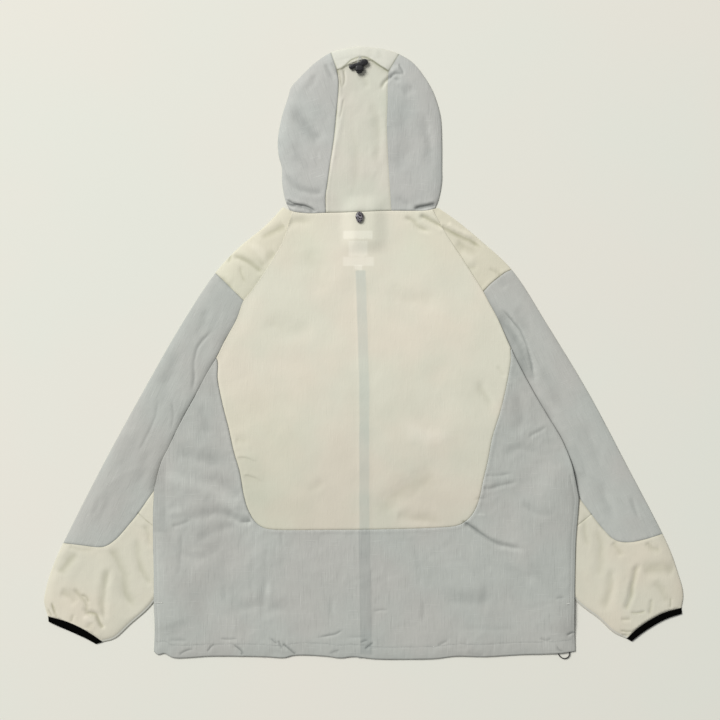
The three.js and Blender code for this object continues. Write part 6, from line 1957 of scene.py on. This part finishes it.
ring, sil = hood_ring(RIM)
cuts_top = [pinned(brim_cut, RIM), pinned(seam_left, RIM), pinned(seam_right, RIM)]
hood_box = (-150, 140, 228, 510)
extra = sow(np.vstack([ring, *cuts_top]), [
    (beside(sil, (-3.2, -2.0, -1.1, -0.5, 0.5, 1.1, 2.0, 3.2), 2.4), 0.45),
    (np.vstack([beside(c, (-2.4, -1.1, -0.5, 0.5, 1.1, 2.4), 2.4) for c in cuts_top + [hood_neck]]), 0.45),
    (crease_points("hood"), 0.7), (lattice(hood_box, 2.4, ring), 1.6),
], ring)
hv, ht, hl = arrange(ring, cuts_top, extra)
ring2, _ = hood_ring(RIM)
cuts_low = [pinned(brim_cut, RIM), face_ring, centre_low, centre_high]
extra = sow(np.vstack([ring2, *cuts_low]), [
    (beside(sil, (-2.6, -1.2, -0.5, 0.5, 1.2, 2.6), 4.0), 0.45),
    (beside(face_ring, (-1.0, 1.0), 4.0), 0.8), (lattice(hood_box, 6.0, ring2), 3.4),
], ring2)
gv, gt, gl = arrange(ring2, cuts_low, extra)
hood_keys = set(key_of(sil))


def hood_middle(x, y):
    return underside(x, y) + 0.75


def hood_top(x, y):
    d, _, _, _ = to_line(x, y, sil, 70)
    d = np.minimum(d, 99)
    full = HOOD_STACK + smooth(0, 26, d) * (1.3 * noise(x, y, 80, 201) + 0.6 * noise(x, y, 40, 202) + 0.22 * noise(x, y, 20, 203))
    stack = EDGE_THIN + (full - EDGE_THIN) * rise(d, 10.0)
    neck = smooth(262, 238, y)
    stack = stack + (STACK - stack) * neck * smooth(0, 10, d)
    z = stack + creases(x, y, "hood")
    z = z + seam(x, y, hood_neck, 0.9, 1.3, pucker=0.35, wave=10, reach=9, seed=211)
    z = z + seam(x, y, seam_left, 0.95, 1.0, allow=-0.3, allow_width=5, pucker=0.2, wave=11, reach=7, seed=213)
    z = z + seam(x, y, seam_right, 0.25, 1.6, allow=0.0, pucker=0.22, wave=13, reach=8, seed=215)
    z = z + seam(x, y, brim_cut, 0.6, 1.1, pucker=0.16, wave=9, reach=9, seed=217)
    z = z + seam(x, y, sil, 0, 1, pucker=0.14, wave=19, reach=11, seed=219)
    z = z + smooth(0, 12, d) * (0.24 * crinkle(x, y, 26, 221, 12 * np.sign(-1.0), 1.8) + 0.05 * noise(x, y, 11, 222))
    # the brim's casing
    cd = np.abs(d - 17 - 1.2 * noise(x, y * 0, 30, 223))
    z = z - 0.45 * np.exp(-((cd / 1.1) ** 2)) * smooth(478, 486, y)
    z = soft_floor(z, 2 * CLOTH + 0.3, 0.22)
    low = underside(x, y)
    mid = low + 0.75
    u = 1 - np.clip(d / 2.4, 0, 1)
    return mid + 0.08 + (low + z - mid - 0.08) * np.sqrt(np.maximum(0, 1 - u * u))


def hood_low(x, y):
    d, _, _, _ = to_line(x, y, sil, 30)
    d = np.minimum(d, 99)
    low = underside(x, y)
    z = low + smooth(0, 10, d) * (0.15 * ridged(x, y, 40, 231, 2) + 0.12 * ridged(x, y, 18, 232, 3))
    for c in (brim_cut, centre_low, centre_high, face_ring):
        dk, _, _, _ = to_line(x, y, c, 10)
        z = z + 0.35 * np.exp(-((np.minimum(dk, 50) / 1.3) ** 2))
    dk, _, _, _ = to_line(x, y, face_ring, 30)
    z = z + 0.2 * np.exp(-(((np.minimum(dk, 50) - 8) / 1.0) ** 2))
    mid = low + 0.75
    u = 1 - np.clip(d / 2.4, 0, 1)
    return mid - 0.08 - (mid - 0.08 - z) * np.sqrt(np.maximum(0, 1 - u * u))


# Painted shade in the folds, along the seams and neck, under the brim's edge and along the left silhouette, with
# painted facet shade on the sides; painted highlights on crests and along the right silhouette.
def hood_tone(x, y, kind):
    shade = creases(x, y, "hood", shade=True)
    shade = shade + line_shade(x, y, seam_left, 0.26, 1.1, 20, 0.5, 321) + line_shade(x, y, seam_right, 0.07, 2.2, 30, 0.4, 322)
    shade = shade + line_shade(x, y, hood_neck, 0.14, 1.1, 20, 0.6, 323)
    shade = shade + line_shade(x, y, brim_cut, 0.34, 1.2, 18, 0.5, 324) * (1 + 0.5 * smooth(-2, 6, x) * smooth(44, 34, x))
    if kind == "side":
        shade = shade + 0.016 * facet_shade(x, y, 24, 345, 20 * np.sign(-1.0), 2.0)
    shade = shade + line_shade(x, y, sil, 0.06, 3.0, 40, 0.3, 327) * smooth(-40, -90, x)
    if kind == "centre":
        shade = shade + line_shade(x, y, brim_cut, 0.10, 5.0, 18, 0.4, 325)
    tone = np.ones((len(x), 3)) * (1 - np.clip(shade, -0.06, 0.42)[:, None] * (GREEN_SHADE if kind in ("centre", "brim") else GREY_SHADE))
    far_side = smooth(60, 90, x)
    return tone * (1 + (line_shade(x, y, sil, 0.16, 1.3, 30, 0.3, 326) * far_side)[:, None])


cv, ct = piece_at(hv, ht, hl, (0, 350))
cv = inset_edges(cv, ct, 0.05)
top = hood_top(cv[:, 0], cv[:, 1])
co, faces = sheet_shell(cv, ct, top, top - CLOTH)
hood_centre = make_object("hood_centre_cloth", co, faces)
finish_piece(hood_centre, "hood_centre", ivory_hood, hood_tone(co[:, 0], co[:, 1], "centre"))
declare_sheet(hood_centre, cv, ct, 1)
for node, probe_top, probe_low, material, slot_name in (
    ("hood_side_left", (-100, 350), (-100, 350), grey_hood["left"], "grey_nylon"),
    ("hood_side_right", (90, 350), (90, 350), grey_hood["right"], "grey_nylon"),
    ("hood_brim", (0, 496), (0, 496), ivory_brim, "ivory_nylon"),
):
    pv, pt = piece_at(hv, ht, hl, probe_top)
    qv, qt = piece_at(gv, gt, gl, probe_low)
    co, faces = wrapped_shell(
        (pv, pt, hood_top(pv[:, 0], pv[:, 1])), (qv, qt, hood_low(qv[:, 0], qv[:, 1])), hood_keys, CLOTH, hood_middle
    )
    obj = make_object(node + "_cloth", co, faces)
    hood_shade = np.ones((len(co), 3))
    hood_shade[: 2 * len(pv)] = hood_tone(co[: 2 * len(pv), 0], co[: 2 * len(pv), 1], "brim" if node == "hood_brim" else "side")
    finish_piece(obj, node, material, hood_shade)
    w, h = box_of(np.vstack([pv, qv]))
    total = (area_of(pv, pt) + area_of(qv, qt)) * 1e-6
    declare_sheet(obj, pv, pt, 2, size=(2 * w * MM * 1.02, h * MM), shown=total)

# ---------------------------------------------------------------- cord locks
HOOD_LOCK = {"x": -9, "y": 474.5, "z": 6.3, "turn": 0.31}
NECK_LOCK = {"x": -7.5, "y": 223.2, "z": 9.5, "long": 18.5, "wide": 13.2, "high": 5.6}


def tube(points, radius, sides=10, cap=True):
    """A round tube along points."""
    p = np.asarray(points, float)
    t = np.gradient(p, axis=0)
    t /= np.linalg.norm(t, axis=1)[:, None]
    up = np.array([0.0, 0.0, 1.0])
    co, tri = [], []
    for a, d in zip(p, t):
        side = np.cross(d, up)
        if np.linalg.norm(side) < 1e-3:
            side = np.array([1.0, 0, 0])
        side /= np.linalg.norm(side)
        other = np.cross(side, d)
        for k in range(sides):
            ang = 2 * math.pi * k / sides
            co.append(a + radius * (math.cos(ang) * side + math.sin(ang) * other))
    for j in range(len(p) - 1):
        for k in range(sides):
            l = (k + 1) % sides
            a, b, c, d = j * sides + k, j * sides + l, (j + 1) * sides + l, (j + 1) * sides + k
            tri += [(a, b, c), (a, c, d)]
    n = len(co)
    co += [p[0], p[-1]]
    last = (len(p) - 1) * sides
    for k in range(sides):
        l = (k + 1) % sides
        tri += [(l, k, n), (last + k, last + l, n + 1)]
    co, tri = np.array(co), np.array(tri)
    return co, tri[:, ::-1]


def outward(co, tri):
    """The faces turned so that the solid's volume is positive."""
    a, b, c = co[tri[:, 0]], co[tri[:, 1]], co[tri[:, 2]]
    return (co, tri[:, ::-1]) if np.einsum("ij,ij->i", a, np.cross(b, c)).sum() < 0 else (co, tri)


x0, y0, z0, turn = HOOD_LOCK["x"], HOOD_LOCK["y"], HOOD_LOCK["z"], HOOD_LOCK["turn"]
ux, uy = math.cos(turn), math.sin(turn)
lock_parts = [
    # the bar, thicker at its right end
    rounded_plate(super_outline(33, 7.4, 3.4, 44, x0, y0, turn, 0), z0, z0 + 5.9, 1.9, 5),
    rounded_plate(super_outline(13, 10.4, 3.0, 32, x0 + 9.0 * ux, y0 + 9.0 * uy + 0.4, turn, 0), z0 + 0.2, z0 + 6.3, 2.0, 5),
    rounded_plate(super_outline(7.5, 8.4, 3.0, 28, x0 - 12.2 * ux, y0 - 12.2 * uy, turn, 0), z0 + 0.3, z0 + 5.3, 1.6, 4),
    # the barrel, its button and a raised rim
    rounded_plate(super_outline(14.3, 11.0, 3.2, 40, x0 + 1.5, y0 - 6.5, 0.05, 0.06), z0, z0 + 8.1, 2.4, 6),
    rounded_plate(super_outline(9.6, 4.6, 3.2, 30, x0 + 1.3, y0 - 12.4, 0.05, 0), z0 + 1.2, z0 + 6.4, 1.6, 5),
    rounded_plate(super_outline(11.6, 1.6, 3.0, 30, x0 + 1.4, y0 - 9.6, 0.05, 0), z0 + 0.8, z0 + 8.5, 0.7, 3),
    # ribs across the bar
    *[
        rounded_plate(super_outline(1.0, 6.2, 2.6, 18, x0 + k * ux, y0 + k * uy, turn, 0), z0 + 1.5, z0 + 6.35 + (0.3 if k > 3 else 0), 0.4, 2)
        for k in (-8.5, -6.2, 5.0, 7.4, 9.8, 12.2)
    ],
]
lock_parts = [outward(*p) for p in lock_parts]
hood_lock = make_object("hood_cord_lock_body", *join_parts(lock_parts), 50)
finish_piece(hood_lock, "hood_cord_lock", plastic_material)

# the pale loop of elastic that runs through it, a small triangle above the bar
loop_z = z0 + 4.4
loop = spline([(-10.6, 476.2), (-8.6, 483.2), (-6.7, 487.2), (-5.0, 483.4), (-3.4, 478.6)], 0.6)
loop_tube = outward(*tube(np.c_[loop, np.full(len(loop), loop_z)], 0.62, 8))
loop_obj = make_object("hood_cord_eye", *loop_tube, 60)
finish_piece(loop_obj, None, thread_grey)

n = NECK_LOCK
rings, tri = [], []
STEPS, SIDES = 22, 28
for j in range(STEPS + 1):
    t = j / STEPS
    yy = n["y"] - n["long"] / 2 + n["long"] * t
    fat = max(0.02, 1 - abs(2 * t - 1) ** 3.4) ** 0.5
    taper = 0.78 + 0.22 * smooth(0.05, 0.6, t) if t < 0.6 else 1 - 0.18 * smooth(0.6, 1, t)
    wx, wz = n["wide"] / 2 * fat * float(taper), n["high"] / 2 * fat * (0.86 + 0.14 * float(taper))
    waist = 1 - 0.10 * math.exp(-(((t - 0.34) / 0.035) ** 2)) - 0.10 * math.exp(-(((t - 0.72) / 0.03) ** 2))
    for k in range(SIDES):
        a = 2 * math.pi * k / SIDES
        c, s_ = math.cos(a), math.sin(a)
        rings.append((
            n["x"] + wx * waist * abs(c) ** 0.8 * (1 if c >= 0 else -1), yy,
            n["z"] + n["high"] / 2 + wz * waist * abs(s_) ** 0.8 * (1 if s_ >= 0 else -1),
        ))
for j in range(STEPS):
    for k in range(SIDES):
        l = (k + 1) % SIDES
        a, b, c, d = j * SIDES + k, j * SIDES + l, (j + 1) * SIDES + l, (j + 1) * SIDES + k
        tri += [(a, b, c), (a, c, d)]
for k in range(1, SIDES - 1):
    tri += [(0, k + 1, k), (STEPS * SIDES, STEPS * SIDES + k, STEPS * SIDES + k + 1)]
body_part = outward(np.array(rings), np.array(tri))
button = outward(*rounded_plate(super_outline(6.4, 4.2, 2.6, 26, n["x"] + 0.2, n["y"] + 4.6), n["z"] + 3.2, n["z"] + 5.95, 0.9, 4))
eyelets = [outward(*tube(np.c_[
    n["x"] + 1.7 * np.cos(np.linspace(0, 2 * math.pi, 21)), n["y"] - 4.0 + 1.7 * np.sin(np.linspace(0, 2 * math.pi, 21)),
    np.full(21, n["z"] + 5.05)], 0.42, 8))]
neck_lock = make_object("neck_cord_lock_body", *join_parts([body_part, button, *eyelets]), 50)
finish_piece(neck_lock, "neck_cord_lock", lock_material)

# ---------------------------------------------------------------- stitches
from mathutils.bvhtree import BVHTree

tops = [o for o in scene.objects if o.type == "MESH" and o.name.endswith("_cloth") and "front" not in o.name]
tree_co, tree_faces, n_at = [], [], 0
for o in tops:
    c = np.zeros(3 * len(o.data.vertices))
    o.data.vertices.foreach_get("co", c)
    f = np.zeros(3 * len(o.data.polygons), np.int32)
    o.data.polygons.foreach_get("vertices", f)
    tree_co.append(c.reshape(-1, 3))
    tree_faces.append(f.reshape(-1, 3) + n_at)
    n_at += len(c) // 3
surface = BVHTree.FromPolygons(np.vstack(tree_co).tolist(), np.vstack(tree_faces).tolist())


def surface_z(x, y):
    hit = surface.ray_cast(Vector((x * MM, y * MM, 0.05)), Vector((0, 0, -1)))
    return None if hit[0] is None else hit[0].z / MM


def stitch_row(line, pitch=3.1, long=2.25, wide=0.52, high=0.2, skip=0.0, seed=0):
    """Small lens-shaped stitches along a line on the cloth."""
    r = resample(line, pitch)
    co, tri, n0 = [], [], 0
    for i in range(len(r) - 1):
        a, b = r[i], r[i + 1]
        d = (b - a) / max(1e-9, np.hypot(*(b - a)))
        mid = (a + b) / 2
        if skip and noise(np.array([mid[0]]), np.array([mid[1]]), 15, seed)[0] > 0.5 - skip:
            continue
        p, q = mid - d * long / 2, mid + d * long / 2
        zs = [surface_z(*w) for w in (p, mid, q)]
        if None in zs:
            continue
        side = np.array([-d[1], d[0]]) * wide / 2
        zm = max(zs[1], (zs[0] + zs[2]) / 2)
        pts = [
            (*p, zs[0] - 0.02), (*(mid + side), zm + 0.03), (*mid, zm + high),
            (*(mid - side), zm + 0.03), (*mid, zm - 0.12), (*q, zs[2] - 0.02),
        ]
        co += pts
        for k in range(4):
            l = (k + 1) % 4
            tri += [(n0, n0 + 1 + l, n0 + 1 + k), (n0 + 5, n0 + 1 + k, n0 + 1 + l)]
        n0 += 6
    return np.array(co), np.array(tri)


def beside_line(line, offset):
    p = resample(line, 2.0)
    d = np.gradient(p, axis=0)
    nrm = np.c_[-d[:, 1], d[:, 0]] / np.maximum(np.hypot(d[:, 0], d[:, 1]), 1e-9)[:, None]
    return p + nrm * offset


def bartack(x, y, wide, tall, turn=0.0):
    """A short bar of close zigzag stitches."""
    parts = []
    count = int(wide / 0.62)
    for i in range(count):
        u = -wide / 2 + wide * (i + 0.5) / count
        a = np.array([u - 0.2, -tall / 2 if i % 2 else tall / 2])
        b = np.array([u + 0.2, tall / 2 if i % 2 else -tall / 2])
        c, s_ = math.cos(turn), math.sin(turn)
        pts = [np.array([x + p[0] * c - p[1] * s_, y + p[0] * s_ + p[1] * c]) for p in (a, b)]
        zs = [surface_z(*p) for p in pts]
        if None in zs:
            continue
        line3 = [(*pts[0], zs[0] + 0.1), (*((pts[0] + pts[1]) / 2), max(zs) + 0.42), (*pts[1], zs[1] + 0.1)]
        parts.append(outward(*tube(line3, 0.3, 6)))
    return join_parts(parts)


grey_rows, ivory_rows, pale_rows = [], [], []
grey_rows.append(stitch_row(beside_line(yoke_cut, -2.0)))
grey_rows.append(stitch_row(HEM_CASING))
grey_rows.append(stitch_row(SIDE_SEAM_RIGHT))
grey_rows.append(stitch_row(SIDE_SEAM_RIGHT_2, skip=0.15, seed=3))
grey_rows.append(stitch_row(SIDE_SEAM_LEFT))
ivory_rows.append(stitch_row(beside_line(hood_neck, 2.6)))
for which, data in sleeve_tops.items():
    sgn = 1 if which == "left" else -1
    arm = data["arm"]
    upper_arm, lower_arm = arm[arm[:, 1] > 20], arm[arm[:, 1] <= 20]
    ivory_rows.append(stitch_row(beside_line(upper_arm, 2.0 * sgn)))
    grey_rows.append(stitch_row(beside_line(lower_arm, 2.2 * sgn)))
    for k, off in (("cap", 2.0), ("split", 2.0)):
        c = data["cuts"][k]
        for o_ in (off, -off):
            test = beside_line(c, o_)
            mid = test[len(test) // 2]
            lower_side = mid[1] > c[len(c) // 2][1] if k == "cap" else mid[1] < c[len(c) // 2][1]
            if lower_side:
                ivory_rows.append(stitch_row(test))
    c = data["cuts"]["cuff"]
    for o_ in (1.5, -1.5):
        test = beside_line(c, o_)
        if test[len(test) // 2][1] > c[len(c) // 2][1]:
            ivory_rows.append(stitch_row(test))
ivory_rows.append(stitch_row(beside_line(seam_left, 1.8)))
ivory_rows.append(stitch_row(beside_line(seam_right, -1.8)))
ivory_rows.append(stitch_row(beside_line(brim_cut, -1.7)))
pale_rows += [bartack(336.0, -413.2, 5.4, 1.9), bartack(-337.5, -411.0, 11.5, 1.3)]
pale_rows.append(stitch_row(np.array([(right_x(y) - 8.4, y) for y in np.arange(-410.0, -335.0, 3.0)]), 3.6, 2.3, 0.62, 0.24, 0.12, 11))
pale_rows.append(stitch_row(np.array([(left_x(y) + 3.6, y) for y in np.arange(-488.0, -368.0, 3.0)]), 3.6, 1.9, 0.5, 0.2, 0.35, 12))
for name, rows, material, slot_name in (
    ("topstitch_grey", grey_rows, thread_grey, "grey_nylon"), ("topstitch_ivory", ivory_rows, thread_ivory, "ivory_nylon"),
    ("bartacks", pale_rows, thread_pale, "grey_nylon"),
):
    co, faces = join_parts([r for r in rows if len(r[0])])
    obj = make_object(name, *outward(co, faces), 0)
    finish_piece(obj, None, material)

# ---------------------------------------------------------------- floor, light
floor = bpy.data.meshes.new("floor")
floor.from_pydata([(-6, -6, -0.0003), (6, -6, -0.0003), (6, 6, -0.0003), (-6, 6, -0.0003)], [], [(0, 1, 2, 3)])
floor_obj = bpy.data.objects.new("floor", floor)
scene.collection.objects.link(floor_obj)
m = Nodes("floor_board")
flat = coordinates(m)
m.link(mixed(m, ranged(m, noise_node(m, flat, 2.2, 3.0, 0.5), 0.3, 0.7, 0, 1), srgb(224, 221, 211), srgb(221, 222, 212)), m.shader.inputs["Base Color"])
m.link(bumped(m, noise_node(m, flat, 900, 2.0, 0.5), 0.00003), m.shader.inputs["Normal"])
m.set(Roughness=0.9, Specular_IOR_Level=0.1)
floor.materials.append(m.material)


def area_light(name, at, aim, size, power, colour=(1, 1, 1)):
    data = bpy.data.lights.new(name, "AREA")
    data.shape = "SQUARE"
    data.size = size
    data.energy = power
    data.color = colour
    o = bpy.data.objects.new(name, data)
    scene.collection.objects.link(o)
    o.location = at
    o.rotation_euler = (Vector(aim) - Vector(at)).to_track_quat("-Z", "Y").to_euler()
    return o


FAR = 15.0
lift, around = math.radians(44), math.radians(136)  # the key's height and bearing
key_at = (FAR * math.cos(lift) * math.cos(around), FAR * math.cos(lift) * math.sin(around), FAR * math.sin(lift))
area_light("key", key_at, (0, 0, 0), 7.0, 2520, (1.0, 0.995, 0.98))
world = bpy.data.worlds.new("studio")
world.use_nodes = True
world.node_tree.nodes["Background"].inputs[0].default_value = (0.97, 0.985, 1.0, 1)
world.node_tree.nodes["Background"].inputs[1].default_value = 0.31
scene.world = world
scene.view_settings.view_transform = "Standard"
scene.view_settings.look = "None"
scene.view_settings.exposure = 0.0
scene.view_settings.gamma = 1.0
